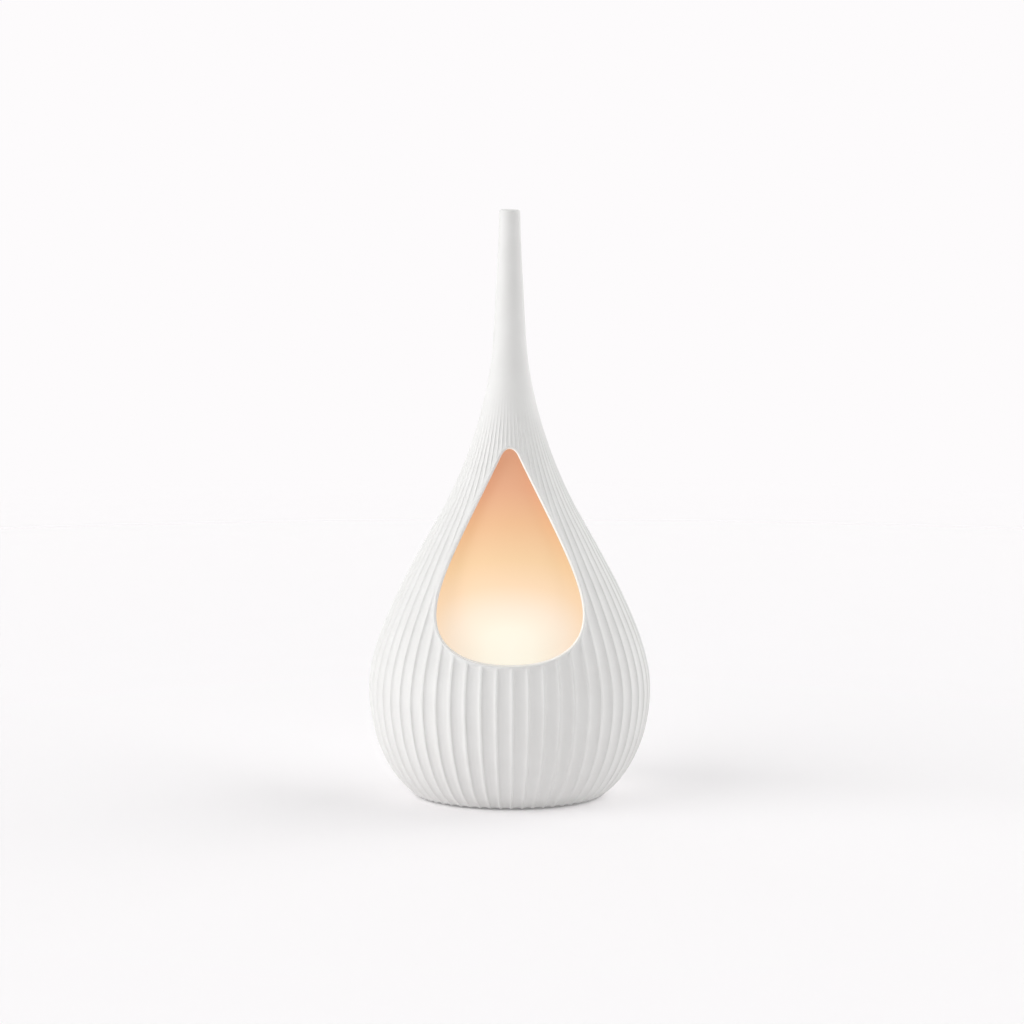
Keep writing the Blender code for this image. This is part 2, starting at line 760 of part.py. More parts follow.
def water_tank():
    foot_in, foot_out, foot_z = TANK_FOOT
    mouth_in, mouth_out, mouth_z = TANK_MOUTH
    profile = [(0.0, TANK_FLOOR[1]), (TANK_INNER_R, TANK_FLOOR[1]), (TANK_INNER_R, TANK_SHOULDER_Z)]
    profile += [(mouth_in, TANK_Z[1]), (mouth_in, mouth_z), (mouth_out, mouth_z), (mouth_out, TANK_Z[1])]
    profile += [(TANK_R, TANK_Z[1]), (TANK_R, TANK_Z[0]), (foot_out, TANK_Z[0]), (foot_out, foot_z)]
    profile += [(foot_in, foot_z), (foot_in, TANK_FLOOR[0]), (0.0, TANK_FLOOR[0])]
    tank = turned("water_tank", profile, sides=TANK_SIDES)
    join(tank, tank_posts())
    cut(tank, tank_holes())
    place_part(tank, BASE, CLEAR_PLASTIC, (0, 0, 0))


def transducer():
    low, high = DISC_Z
    disc = turned("transducer_disc", ((0, high), (DISC_R, high), (DISC_R, low), (0, low)))
    place_part(disc, BASE, BRASS, (0, 0, 0))
    inner, outer = SEAL_R
    low, high = SEAL_Z
    groove = (DISC_Z[0] - GAP, DISC_Z[1] + GAP)
    profile = [(outer, high), (outer, low), (inner, low), (inner, groove[0]), (SEAL_GROOVE_R, groove[0])]
    profile += [(SEAL_GROOVE_R, groove[1]), (inner, groove[1]), (inner, high)]
    place_part(turned("transducer_seal", profile), BASE, SILICONE, (0, 0, 0))
    bracket = cylinder("transducer_bracket", BRACKET_R, BRACKET_Z[0], BRACKET_Z[1], sides=32)
    length, width = BRACKET_BAR
    low = (-length / 2, -width / 2, BRACKET_Z[0] + 0.01)
    high = (length / 2, width / 2, BRACKET_Z[1] - 0.01)
    join(bracket, box("bracket_bar", low, high, collection=CUTTERS))

    def build(work):
        add_cylinder(work, BRACKET_HOLE_R, BRACKET_Z[0] - 1, BRACKET_Z[1] + 1)
        for side in (-1, 1):
            add_cylinder(work, LUG_PILOT[0], BRACKET_Z[0] - 1, BRACKET_Z[1] + 1, (side * LUG_X, 0), sides=12)

    cut(bracket, mesh_object("bracket_holes", build, CUTTERS))
    place_part(bracket, BASE, ALUMINIUM, (0, 0, 0))


def lamps():
    inner, outer = LED_BOARD_R
    low, high = LED_BOARD_Z
    board = turned("led_board", ((outer, high), (outer, low), (inner, low), (inner, high)), sides=36)
    place_part(board, BASE, BOARD, (0, 0, 0))
    foot = high + GAP
    profile = ((0, LED_TOP), (LED_R * 0.6, LED_TOP - 0.4), (LED_R, LED_TOP - 1.4), (LED_R, foot), (0, foot))
    for number in range(LED_COUNT):
        angle = 2 * math.pi * (number + 0.5) / LED_COUNT
        led = turned(f"led_{number + 1}", profile, sides=12)
        place_part(led, BASE, LAMP, (LED_CIRCLE * math.cos(angle), LED_CIRCLE * math.sin(angle), 0))


# ---------------------------------------------------------------- fan, plenum and duct


def fan_spider():
    """The fan motor's mount: a hub disc on three struts, with the bearing pin."""

    def build(work):
        add_cylinder(work, FAN_HUB_R, FAN_Z[0] + 0.1, FAN_SPIDER_TOP, sides=20)

    def build_struts(work):
        for strut in range(FAN_STRUTS):
            turn = Matrix.Rotation(2 * math.pi * strut / FAN_STRUTS + 0.5, 4, "Z")
            middle = (FAN_HUB_R + FAN_BORE_R) / 2
            place = turn @ Matrix.Translation((middle, 0, (FAN_Z[0] + FAN_SPIDER_TOP) / 2 + 0.05))
            size = Matrix.Diagonal((FAN_BORE_R - FAN_HUB_R + 2, 2.0, FAN_SPIDER_TOP - FAN_Z[0] - 0.3, 1))
            bmesh.ops.create_cube(work, size=1.0, matrix=place @ size)

    hub = mesh_object("fan_hub_mount", build, CUTTERS)
    join(hub, mesh_object("fan_struts", build_struts, CUTTERS))
    pin = cylinder("fan_pin", FAN_PIN[0], FAN_Z[0] + 0.5, FAN_PIN[1], sides=12, collection=CUTTERS)
    return join(hub, pin)


def fan_frame():
    half = FAN_SIDE / 2
    frame = box("fan_frame", (-half, -half, FAN_Z[0]), (half, half, FAN_Z[1]))

    def build(work):
        add_cylinder(work, FAN_BORE_R, FAN_Z[0] - 1, FAN_Z[1] + 1, sides=32)
        for x in (-16, 16):
            for y in (-16, 16):
                add_cylinder(work, 1.7, FAN_Z[0] - 1, FAN_Z[1] + 1, (x, y), sides=10)

    cut(frame, mesh_object("fan_holes", build, CUTTERS))
    spider = fan_spider()
    join(frame, spider)
    place_part(frame, BASE, DARK_PLASTIC, (FAN_X, 0, 0))
    for name in ("fan_holes", "fan_hub_mount", "fan_struts", "fan_pin"):
        bpy.data.objects[name].location = (FAN_X * MM, 0, 0)


def fan_rotor():
    low, high = ROTOR_Z
    bore_r, bore_top = ROTOR_BORE
    profile = [(0, high), (FAN_HUB_R - 0.8, high), (FAN_HUB_R, high - 0.8), (FAN_HUB_R, low)]
    profile += [(bore_r, low), (bore_r, bore_top), (0, bore_top)]
    rotor = turned("fan_rotor", profile, sides=20)

    def build(work):
        thickness, height = BLADE_SIZE
        reach = BLADE_TIP_R - FAN_HUB_R + 1
        for blade in range(BLADES):
            turn = Matrix.Rotation(2 * math.pi * blade / BLADES, 4, "Z")
            out = Matrix.Translation((BLADE_TIP_R - reach / 2, 0, BLADE_Z))
            tilt = Matrix.Rotation(BLADE_PITCH, 4, "X")
            size = Matrix.Diagonal((reach, thickness, height, 1))
            bmesh.ops.create_cube(work, size=1.0, matrix=turn @ out @ tilt @ size)

    blades = mesh_object("fan_blades", build, CUTTERS)
    blades.location = (FAN_X * MM, 0, 0)
    join(rotor, blades)
    place_part(rotor, ROTOR, DARK_PLASTIC, (FAN_X, 0, 0))


def fan_plenum():
    half = FAN_SIDE / 2
    low, high = PLENUM_Z
    plenum = box("fan_plenum", (FAN_X - half, -half, low), (FAN_X + half, half, high))
    inner = half - PLENUM_WALL
    hollow = box(
        "plenum_hollow",
        (FAN_X - inner, -inner, low - 1),
        (FAN_X + inner, inner, high - PLENUM_WALL),
        collection=CUTTERS,
    )
    cut(plenum, hollow)
    cut(plenum, cylinder("plenum_outlet", DUCT_R[0], high - 3, high + 1, (DUCT_X, 0), collection=CUTTERS))
    place_part(plenum, BASE, DARK_PLASTIC, (0, 0, 0))


def air_duct():
    """The tube that takes the fan's air above the water; its roof keeps splashes out."""
    inner, outer = DUCT_R
    low, high = DUCT_Z
    flange_r, flange_top = DUCT_FLANGE
    profile = [(0, high), (outer - 0.8, high), (outer, high - 0.8), (outer, flange_top)]
    profile += [(flange_r, flange_top), (flange_r, low), (inner, low)]
    profile += [(inner, high - DUCT_ROOF), (0, high - DUCT_ROOF)]
    duct = turned("air_duct", profile)
    width, slot_low, slot_high = DUCT_SLOT

    def build(axis):
        reach = (outer + 2, width / 2) if axis == "x" else (width / 2, outer + 2)
        return lambda work: add_box(work, (-reach[0], -reach[1], slot_low), (reach[0], reach[1], slot_high))

    for axis in ("x", "y"):
        slot = mesh_object(f"duct_slot_{axis}", build(axis), CUTTERS)
        slot.location = (DUCT_X * MM, 0, 0)
        cut(duct, slot)
    place_part(duct, BASE, HOUSING_PLASTIC, (DUCT_X, 0, 0))


# ---------------------------------------------------------------- electronics and controls


def driver_board():
    low = (BOARD_X[0], -BOARD_HALF_Y, BOARD_Z[0])
    high = (BOARD_X[1], BOARD_HALF_Y, BOARD_Z[1])
    board = box("driver_board", low, high)

    def build(work):
        for at in BOARD_SCREWED:
            add_cylinder(work, BOARD_POST_HOLE[0], BOARD_Z[0] - 1, BOARD_Z[1] + 1, at, sides=12)

    cut(board, mesh_object("board_holes", build, CUTTERS))
    place_part(board, BASE, BOARD, (0, 0, 0))


def board_parts():
    ring = ((5.4, PART_BASE + 5.6), (6.0, PART_BASE + 5.0), (6.0, PART_BASE + 0.6), (5.4, PART_BASE))
    ring += ((2.8, PART_BASE), (2.2, PART_BASE + 0.6), (2.2, PART_BASE + 5.0), (2.8, PART_BASE + 5.6))
    place_part(turned("inductor", ring, sides=20), BASE, FERRITE, (*INDUCTOR_AT, 0))
    can = ((0, PART_BASE + 12), (3.4, PART_BASE + 12), (4, PART_BASE + 11.4), (4, PART_BASE), (0, PART_BASE))
    place_part(turned("capacitor", can, sides=20), BASE, ALUMINIUM, (*CAPACITOR_AT, 0))
    x, y = CHIP_AT
    chip = box("driver_chip", (x - 4, y - 4, PART_BASE), (x + 4, y + 4, PART_BASE + 1.5), bevel=0.3)
    place_part(chip, BASE, DARK_PLASTIC, (0, 0, 0))
    x, y = HEAT_SINK_AT
    sink = box("heat_sink", (x - 9, y - 6, PART_BASE), (x + 9, y + 6, PART_BASE + 14))

    def build(work):
        for slot in (-1, 0, 1):
            middle = y + slot * SINK_PITCH
            low = (x - 12, middle - SINK_SLOT / 2, PART_BASE + 2.5)
            high = (x + 12, middle + SINK_SLOT / 2, PART_BASE + 18)
            add_box(work, low, high)

    cut(sink, mesh_object("sink_slots", build, CUTTERS))
    place_part(sink, BASE, ALUMINIUM, (0, 0, 0))


def control_board():
    low = (-CONTROL_BOARD_HALF, CONTROL_BOARD_Y[0], POCKET_Z[0])
    high = (CONTROL_BOARD_HALF, CONTROL_BOARD_Y[1], POCKET_Z[1] - 3)
    place_part(box("control_board", low, high), BASE, BOARD, (0, 0, 0))
    half = SWITCH_SIDE / 2
    for number, side in enumerate((-1, 1), 1):
        x = side * BUTTON_X
        low = (x - half, SWITCH_Y[0], CONTROL_Z - half)
        high = (x + half, SWITCH_Y[1], CONTROL_Z + half)
        switch = box(f"tact_switch_{number}", low, high)
        plunger = cylinder(
            f"switch_plunger_{number}",
            SWITCH_PLUNGER[0],
            SWITCH_Y[0] + 1,
            SWITCH_PLUNGER[1],
            (x, -CONTROL_Z),
            sides=12,
            collection=CUTTERS,
        )
        join(switch, along_y(plunger))
        place_part(switch, BASE, DARK_PLASTIC, (0, 0, 0))


def dc_jack():
    low = (-JACK_HALF, JACK_Y[0], CONTROL_Z - JACK_HALF)
    high = (JACK_HALF, JACK_Y[1], CONTROL_Z + JACK_HALF)
    jack = box("dc_jack", low, high)
    nose_r, nose_y = JACK_NOSE
    nose = cylinder("jack_nose", nose_r, JACK_Y[0] + 1, nose_y, (0, -CONTROL_Z), collection=CUTTERS)
    join(jack, along_y(nose))
    bore_r, pin_r, bore_y = JACK_BORE
    ring = ((bore_r, nose_y + 1), (bore_r, bore_y), (pin_r, bore_y), (pin_r, nose_y + 1))
    bore = along_y(turned("jack_bore", ring, sides=16, collection=CUTTERS))
    bore.location = (0, 0, CONTROL_Z * MM)
    cut(jack, bore)
    place_part(jack, BASE, DARK_PLASTIC, (0, 0, 0))


def button(name, body, x):
    low, high = BUTTON_FLANGE_Y
    profile = [(0, BUTTON_FACE_Y), (BUTTON_R - 0.6, BUTTON_FACE_Y), (BUTTON_R, BUTTON_FACE_Y - 0.6)]
    profile += [(BUTTON_R, high), (BUTTON_FLANGE_R, high), (BUTTON_FLANGE_R, low), (0, low)]
    cap = along_y(turned(name, profile))
    place_part(cap, body, BUTTON_PLASTIC, (x, 0, CONTROL_Z))


def leads():
    end = PART_BASE + 0.3
    routes = {
        "fan_lead": ((-5.6, -10, 8), (-2, -10.5, 9.5), (0.2, -11, 13), (4, -11.5, 16), (6.5, -12, end)),
        "transducer_lead": ((1, 0, 35), (1, 0, 30), (6, -6, 22), (11, -12, 16), (12, -13, end)),
        "led_lead": ((22, -11, 32.4), (22, -13, 27), (23, -18, 19), (24, -19, end)),
        "control_lead": ((1, 53, 18), (1, 47, 19), (5, 38, 18.5), (15, 25, 17), (18, 22, end)),
    }
    for name, route in routes.items():
        place_part(lead(name, route), BASE, LEAD_SHEATH, (0, 0, 0))


# ---------------------------------------------------------------- water level float


def water_float():
    inner, outer = FLOAT_R
    low, high = FLOAT_Z
    groove = (MAGNET_R[0] - 0.35, MAGNET_R[1] + 0.35)
    profile = [(outer - 1, high), (outer, high - 1), (outer, low + 1), (outer - 1, low), (groove[1], low)]
    profile += [(groove[1], MAGNET_Z[1] + GAP), (groove[0], MAGNET_Z[1] + GAP), (groove[0], low)]
    profile += [(inner, low), (inner, high)]
    place_part(turned("water_float", profile), FLOAT, FOAM, (FLOAT_X, 0, 0))
    inner, outer = MAGNET_R
    low, high = MAGNET_Z
    magnet = turned("float_magnet", ((outer, high), (outer, low), (inner, low), (inner, high)), sides=20)
    place_part(magnet, FLOAT, FERRITE, (FLOAT_X, 0, 0))
    radius, low, high = FLOAT_CAP
    bore = FLOAT_POST[0] + GAP
    roof = FLOAT_POST[1] + GAP
    profile = [(0, high), (radius - 0.5, high), (radius, high - 0.5), (radius, low)]
    profile += [(bore, low), (bore, roof), (0, roof)]
    place_part(turned("float_cap", profile, sides=20), BASE, HOUSING_PLASTIC, (FLOAT_X, 0, 0))
    length, width, height = REED_SIZE
    low = (FLOAT_X - length / 2, -width / 2, REED_Z)
    high = (FLOAT_X + length / 2, width / 2, REED_Z + height)
    place_part(box("reed_sensor", low, high, bevel=0.3), BASE, DARK_PLASTIC, (0, 0, 0))


# ---------------------------------------------------------------- mist hood


def mist_hood():
    outside = [(radius, height) for height, radius in HOOD]
    inside = []
    for height, radius in reversed(HOOD):
        wall = CHIMNEY_WALL + (HOOD_WALL - CHIMNEY_WALL) * ease(7.5, 12.0, radius)
        inside.append((radius - wall, height))
    place_part(turned("mist_hood", outside + inside, sides=TANK_SIDES), HOOD_BODY, FROSTED_PLASTIC, (0, 0, 0))
    inner, outer = HOOD_SEAL_R
    low, high = HOOD_SEAL_Z
    seal = turned("hood_seal", ((outer, high), (outer, low), (inner, low), (inner, high)), sides=TANK_SIDES)
    place_part(seal, BASE, SILICONE, (0, 0, 0))
    low, high = NECK_SEAL_Z
    top = inner_radius(high) - NECK_SEAL_CLEARANCE
    foot = inner_radius(low) - NECK_SEAL_CLEARANCE - 0.6
    profile = ((top, high), (foot, low), (NECK_SEAL_R, low), (NECK_SEAL_R, high))
    place_part(turned("neck_seal", profile, sides=TANK_SIDES), HOOD_BODY, SILICONE, (0, 0, 0))


outer_shell()
base_housing()
bottom_cover()
feet()
screws()
water_tank()
transducer()
lamps()
fan_frame()
fan_rotor()
fan_plenum()
air_duct()
driver_board()
board_parts()
control_board()
dc_jack()
button("power_button", POWER, -BUTTON_X)
button("light_button", LIGHT, BUTTON_X)
leads()
water_float()
mist_hood()
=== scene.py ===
"""Looks of the cool mist humidifier: a fluted bisque shell over a glowing mist hood and its base unit."""

import json
import math

import bmesh
import bpy
import numpy as np
from mathutils import Matrix, Vector

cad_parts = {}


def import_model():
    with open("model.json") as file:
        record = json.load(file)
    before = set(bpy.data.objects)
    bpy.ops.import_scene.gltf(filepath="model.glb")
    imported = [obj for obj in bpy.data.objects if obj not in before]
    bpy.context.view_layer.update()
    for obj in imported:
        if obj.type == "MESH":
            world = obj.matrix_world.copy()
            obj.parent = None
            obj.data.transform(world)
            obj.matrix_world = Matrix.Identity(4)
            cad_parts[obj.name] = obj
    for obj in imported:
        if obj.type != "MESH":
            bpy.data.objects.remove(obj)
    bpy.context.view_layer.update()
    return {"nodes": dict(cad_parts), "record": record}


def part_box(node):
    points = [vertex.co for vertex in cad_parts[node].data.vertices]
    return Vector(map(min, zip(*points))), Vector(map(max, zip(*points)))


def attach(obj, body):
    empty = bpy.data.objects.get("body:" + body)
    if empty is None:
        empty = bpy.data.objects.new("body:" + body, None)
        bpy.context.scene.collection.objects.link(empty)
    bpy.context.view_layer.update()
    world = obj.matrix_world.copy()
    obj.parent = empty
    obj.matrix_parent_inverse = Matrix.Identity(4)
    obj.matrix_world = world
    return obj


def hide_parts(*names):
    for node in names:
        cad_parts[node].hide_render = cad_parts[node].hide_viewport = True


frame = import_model()
NODES = frame["nodes"]
MM = 0.001
WHITE = (1.0, 1.0, 1.0, 1.0)

# The shell's form, in millimetres: the CAD model's crests, very slightly fuller at the tip.
CREST = (
    (1.5, 62.2),
    (10.0, 71.4),
    (24.0, 80.7),
    (45.0, 88.5),
    (72.0, 91.5),
    (98.0, 86.7),
    (130.0, 73.8),
    (165.0, 55.6),
    (195.0, 39.1),
    (225.0, 26.4),
    (255.0, 17.3),
    (285.0, 11.7),
    (330.0, 8.8),
    (362.0, 7.2),
    (380.0, 6.75),
)
CREST_MAX = 91.5
FOOT_DROP = 0.7
SHELL_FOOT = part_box("outer_shell")[0].z / MM - FOOT_DROP
SHELL_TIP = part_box("outer_shell")[1].z / MM
RIBS = 56
RIB_PHASE = math.radians(1.2)
FLUTE_DEPTH = 1.4
FLUTE_FADE = (225.0, 268.0)
WALL_BULB = 3.4
WALL_NECK = 2.0
WALL_TAPER = (200.0, 330.0)


# -------------------- helpers


def linear(red, green, blue):
    """An sRGB colour, 0 to 255, as the linear values that shaders take."""

    def one(value):
        value /= 255.0
        return value / 12.92 if value <= 0.04045 else ((value + 0.055) / 1.055) ** 2.4

    return (one(red), one(green), one(blue), 1.0)


def ease(low, high, value):
    """0 at low, 1 at high, smooth between; for numbers or arrays."""
    t = np.clip((value - low) / (high - low), 0.0, 1.0)
    return t * t * (3 - 2 * t)


def hermite(knots, value):
    """Smooth curve through (place, value) knots."""
    places = np.array([k[0] for k in knots], float)
    values = np.array([k[1] for k in knots], float)
    steps = np.diff(values) / np.diff(places)
    slopes = np.empty(len(knots))
    slopes[1:-1] = (values[2:] - values[:-2]) / (places[2:] - places[:-2])
    slopes[0] = steps[0]
    slopes[-1] = steps[-1]
    value = np.asarray(value, float)
    i = np.clip(np.searchsorted(places, value) - 1, 0, len(knots) - 2)
    span = places[i + 1] - places[i]
    t = (value - places[i]) / span
    ends = (2 * t**3 - 3 * t**2 + 1) * values[i] + (3 * t**2 - 2 * t**3) * values[i + 1]
    return ends + span * ((t**3 - 2 * t**2 + t) * slopes[i] + (t**3 - t**2) * slopes[i + 1])


def crest_radius(height):
    return hermite(CREST, height)


def flute_depth(height):
    fade = 1.0 - ease(*FLUTE_FADE, height)
    return FLUTE_DEPTH * crest_radius(height) / CREST_MAX * fade


def inner_radius(height):
    wall = WALL_BULB + (WALL_NECK - WALL_BULB) * ease(*WALL_TAPER, height)
    return crest_radius(height) - flute_depth(height) - wall


def polar(radius, angle):
    return (radius * math.cos(angle), radius * math.sin(angle))


def add(name, data):
    """A new object in the scene."""
    obj = bpy.data.objects.new(name, data)
    bpy.context.scene.collection.objects.link(obj)
    return obj


def smooth(mesh, angle=35.0):
    mesh.shade_smooth()
    mesh.set_sharp_from_angle(angle=math.radians(angle))


def finish_mesh(name, points, faces, angle=35.0):
    """An object from points in millimetres, its faces turned outwards."""
    mesh = bpy.data.meshes.new(name)
    mesh.from_pydata(np.asarray(points, float) * MM, [], faces)
    work = bmesh.new()
    work.from_mesh(mesh)
    if work.calc_volume(signed=True) < 0:
        bmesh.ops.reverse_faces(work, faces=work.faces)
    work.to_mesh(mesh)
    work.free()
    smooth(mesh, angle)
    return add(name, mesh)


def grid_faces(levels, columns, loop):
    """Quads between neighbouring rings; with loop the last ring joins the first."""
    index = np.arange(levels * columns).reshape(levels, columns)
    right = np.roll(index, -1, axis=1)
    rows = slice(None) if loop else slice(0, -1)
    below = np.roll(index, -1, axis=0)[rows]
    across = np.roll(right, -1, axis=0)[rows]
    return np.stack([index[rows], right[rows], across, below], axis=-1).reshape(-1, 4).tolist()


def ring_solid(name, rings, angle=35.0):
    """A ring-shaped solid: rings is (levels, columns, 3), closed both ways."""
    rings = np.asarray(rings, float)
    faces = grid_faces(*rings.shape[:2], True)
    return finish_mesh(name, rings.reshape(-1, 3), faces, angle)


def capped_solid(name, rings, angle=35.0):
    """A solid stack of rings, with a flat cap on its first and last ring."""
    rings = np.asarray(rings, float)
    levels, columns = rings.shape[:2]
    faces = grid_faces(levels, columns, False)
    faces.append(list(range(columns)))
    faces.append(list(range(levels * columns - 1, (levels - 1) * columns - 1, -1)))
    return finish_mesh(name, rings.reshape(-1, 3), faces, angle)


def turned_rings(profile, columns):
    """Rings about the Z axis from (radius, height) pairs."""
    angles = np.linspace(0, 2 * math.pi, columns, endpoint=False)
    circle = np.stack([np.cos(angles), np.sin(angles)], axis=1)
    return [np.column_stack([circle * radius, np.full(columns, height)]) for radius, height in profile]


def rounded(corners, closed, steps=4):
    """Points along (x, z, radius) corners, each corner rounded by its own radius."""
    points = []
    for i, (x, z, radius) in enumerate(corners):
        if radius == 0 or (not closed and i in (0, len(corners) - 1)):
            points.append((x, z))
            continue
        here = np.array((x, z), float)
        back = np.array(corners[i - 1][:2]) - here
        ahead = np.array(corners[(i + 1) % len(corners)][:2]) - here
        back /= np.linalg.norm(back)
        ahead /= np.linalg.norm(ahead)
        half = math.acos(back @ ahead) / 2
        centre = here + (back + ahead) / np.linalg.norm(back + ahead) * radius / math.sin(half)
        start = here + back * radius / math.tan(half) - centre
        end = here + ahead * radius / math.tan(half) - centre
        turn = math.pi - 2 * half
        for t in np.linspace(0.0, 1.0, steps + 1):
            arm = math.sin((1 - t) * turn) * start + math.sin(t * turn) * end
            points.append(tuple(centre + arm / math.sin(turn)))
    return points


def evenly(line, count, closed):
    """Evenly spaced points along a line of points, with the normals on its outer side."""
    line = np.array([*line, line[0]] if closed else line, float)
    run = np.concatenate([[0.0], np.cumsum(np.linalg.norm(np.diff(line, axis=0), axis=1))])
    at = np.linspace(0.0, run[-1], count, endpoint=not closed)
    even = np.stack([np.interp(at, run, line[:, k]) for k in (0, 1)], axis=1)
    ahead = np.roll(even, -1, axis=0) - np.roll(even, 1, axis=0) if closed else np.gradient(even, axis=0)
    normal = np.stack([-ahead[:, 1], ahead[:, 0]], axis=1)
    normal /= np.linalg.norm(normal, axis=1)[:, None]
    if (normal * (even - even.mean(0))).sum() < 0:
        normal = -normal
    return even, normal


def boolean(obj, other, operation):
    """Applies one exact Boolean at once and uses the other solid up."""
    step = obj.modifiers.new("step", "BOOLEAN")
    step.operation = operation
    step.solver = "EXACT"
    step.object = other
    graph = bpy.context.evaluated_depsgraph_get()
    mesh = bpy.data.meshes.new_from_object(obj.evaluated_get(graph))
    obj.modifiers.clear()
    obj.data = mesh
    bpy.data.objects.remove(other, do_unlink=True)
    return obj


def maths(tree, operation, first, second=None):
    """One maths node; numbers and sockets can both be given."""
    node = tree.nodes.new("ShaderNodeMath")
    node.operation = operation
    for slot, value in zip(node.inputs, (first, second)):
        if isinstance(value, (int, float)):
            slot.default_value = value
        elif value is not None:
            tree.links.new(value, slot)
    return node.outputs[0]


def length(tree, first, second):
    """The length of a flat vector, from its two parts."""
    squares = [maths(tree, "MULTIPLY", part, part) for part in (first, second)]
    return maths(tree, "SQRT", maths(tree, "ADD", *squares))


def fill(node, values):
    """Sets a node's inputs by name."""
    for name, value in values.items():
        node.inputs[name].default_value = value


def in_object(tree, kind):
    """A new node that works on the place in object space."""
    node = tree.nodes.new(kind)
    place = tree.nodes.new("ShaderNodeTexCoord")
    tree.links.new(place.outputs["Object"], node.inputs["Vector"])
    return node


def spread(tree, value, start, end, first, last):
    """Maps start..end to first..last and holds it there."""
    node = tree.nodes.new("ShaderNodeMapRange")
    fill(node, {"From Min": start, "From Max": end, "To Min": first, "To Max": last})
    tree.links.new(value, node.inputs["Value"])
    return node.outputs["Result"]


def colour_ramp(tree, value, stops):
    """A colour ramp through (position, linear colour) stops."""
    node = tree.nodes.new("ShaderNodeValToRGB")
    elements = node.color_ramp.elements
    while len(elements) < len(stops):
        elements.new(0.5)
    for element, (position, colour) in zip(elements, stops):
        element.position = position
        element.color = colour
    tree.links.new(value, node.inputs["Fac"])
    return node.outputs["Color"]


# -------------------- camera, light and floor

CAMERA_AT = Vector((0.0015, -2.32, 0.421))
CAMERA_AIM = Vector((0.0015, 0.0, 0.1846))
CAMERA_LENS = 126.55


def camera():
    data = bpy.data.cameras.new("camera")
    data.lens = CAMERA_LENS
    data.sensor_width = 36.0
    obj = add("camera", data)
    obj.location = CAMERA_AT
    obj.rotation_euler = (CAMERA_AIM - CAMERA_AT).to_track_quat("-Z", "Y").to_euler()
    bpy.context.scene.camera = obj


# Soft lamps far away: compass angle from the camera's side, height, apparent size and strength.
LAMPS = (
    ("key", -60, 15, 80, 2.10),
    ("key_side", -80, 25, 80, 0.75),
    ("fill", 85, 15, 80, 1.45),
    ("fill_high", 105, 30, 80, 0.62),
    ("edge", 125, 32, 40, 0.25),
    ("back", 180, 35, 90, 1.00),
)
WORLD_LIGHT = 0.15
BACKGROUND = linear(253, 251, 252)
FLOOR_COLOUR = (0.872, 0.855, 0.864, 1.0)
FLOOR_BOUNCE = 0.08
FLOOR_SEEN = 0.15
FLOOR_CLEAR = (0.5, 2.2)
FLOOR_RADIUS = 4.0


def lamps():
    for name, compass, height, size, strength in LAMPS:
        data = bpy.data.lights.new(name, "SUN")
        data.angle = math.radians(size)
        data.energy = strength
        across, up = polar(1.0, math.radians(height))
        near, right = polar(across, math.radians(compass))
        aim = Vector((right, -near, up)).to_track_quat("Z", "Y")
        add(name, data).rotation_euler = aim.to_euler()


def world():
    """White behind the object, and a faint even light on it."""
    studio = bpy.data.worlds.new("studio")
    bpy.context.scene.world = studio
    studio.use_nodes = True
    tree = studio.node_tree
    tree.nodes.clear()
    out = tree.nodes.new("ShaderNodeOutputWorld")
    seen = tree.nodes.new("ShaderNodeBackground")
    fill(seen, {"Color": BACKGROUND})
    even = tree.nodes.new("ShaderNodeBackground")
    fill(even, {"Color": WHITE, "Strength": WORLD_LIGHT})
    path = tree.nodes.new("ShaderNodeLightPath")
    mix = tree.nodes.new("ShaderNodeMixShader")
    tree.links.new(path.outputs["Is Camera Ray"], mix.inputs[0])
    tree.links.new(even.outputs[0], mix.inputs[1])
    tree.links.new(seen.outputs[0], mix.inputs[2])
    tree.links.new(mix.outputs[0], out.inputs["Surface"])


def floor():
    """A pale disc that clears away from the object, so that no horizon shows."""
    work = bmesh.new()
    bmesh.ops.create_circle(work, cap_ends=True, segments=96, radius=FLOOR_RADIUS)
    mesh = bpy.data.meshes.new("floor")
    work.to_mesh(mesh)
    work.free()
    obj = add("floor", mesh)
    material, tree, shader = principled("floor", FLOOR_COLOUR, 0.9)
    fill(shader, {"Specular IOR Level": 0.0, "Emission Color": WHITE})
    path = tree.nodes.new("ShaderNodeLightPath")
    lift = spread(tree, path.outputs["Is Camera Ray"], 0.0, 1.0, FLOOR_BOUNCE, FLOOR_SEEN)
    tree.links.new(lift, shader.inputs["Emission Strength"])
    place = tree.nodes.new("ShaderNodeNewGeometry")
    away = tree.nodes.new("ShaderNodeVectorMath")
    away.operation = "LENGTH"
    tree.links.new(place.outputs["Position"], away.inputs[0])
    tree.links.new(spread(tree, away.outputs["Value"], *FLOOR_CLEAR, 1.0, 0.0), shader.inputs["Alpha"])
    obj.data.materials.append(material)


# -------------------- materials


def principled(name, colour, roughness, metallic=0.0):
    """A material with its node tree, and its Principled shader."""
    material = bpy.data.materials.new(name)
    material.use_nodes = True
    tree = material.node_tree
    shader = tree.nodes["Principled BSDF"]
    fill(shader, {"Base Color": colour, "Roughness": roughness, "Metallic": metallic})
    return material, tree, shader


def noise(tree, scale, detail=3.0):
    """Object-space noise; scale is in repeats for each metre."""
    node = in_object(tree, "ShaderNodeTexNoise")
    fill(node, {"Scale": scale, "Detail": detail, "Roughness": 0.6})
    return node


def mottle(tree, shader, colour_a, colour_b, scale):
    """The base colour drifts between two close colours."""
    cloud = noise(tree, scale)
    drift = colour_ramp(tree, cloud.outputs["Fac"], ((0.35, colour_a), (0.65, colour_b)))
    tree.links.new(drift, shader.inputs["Base Color"])


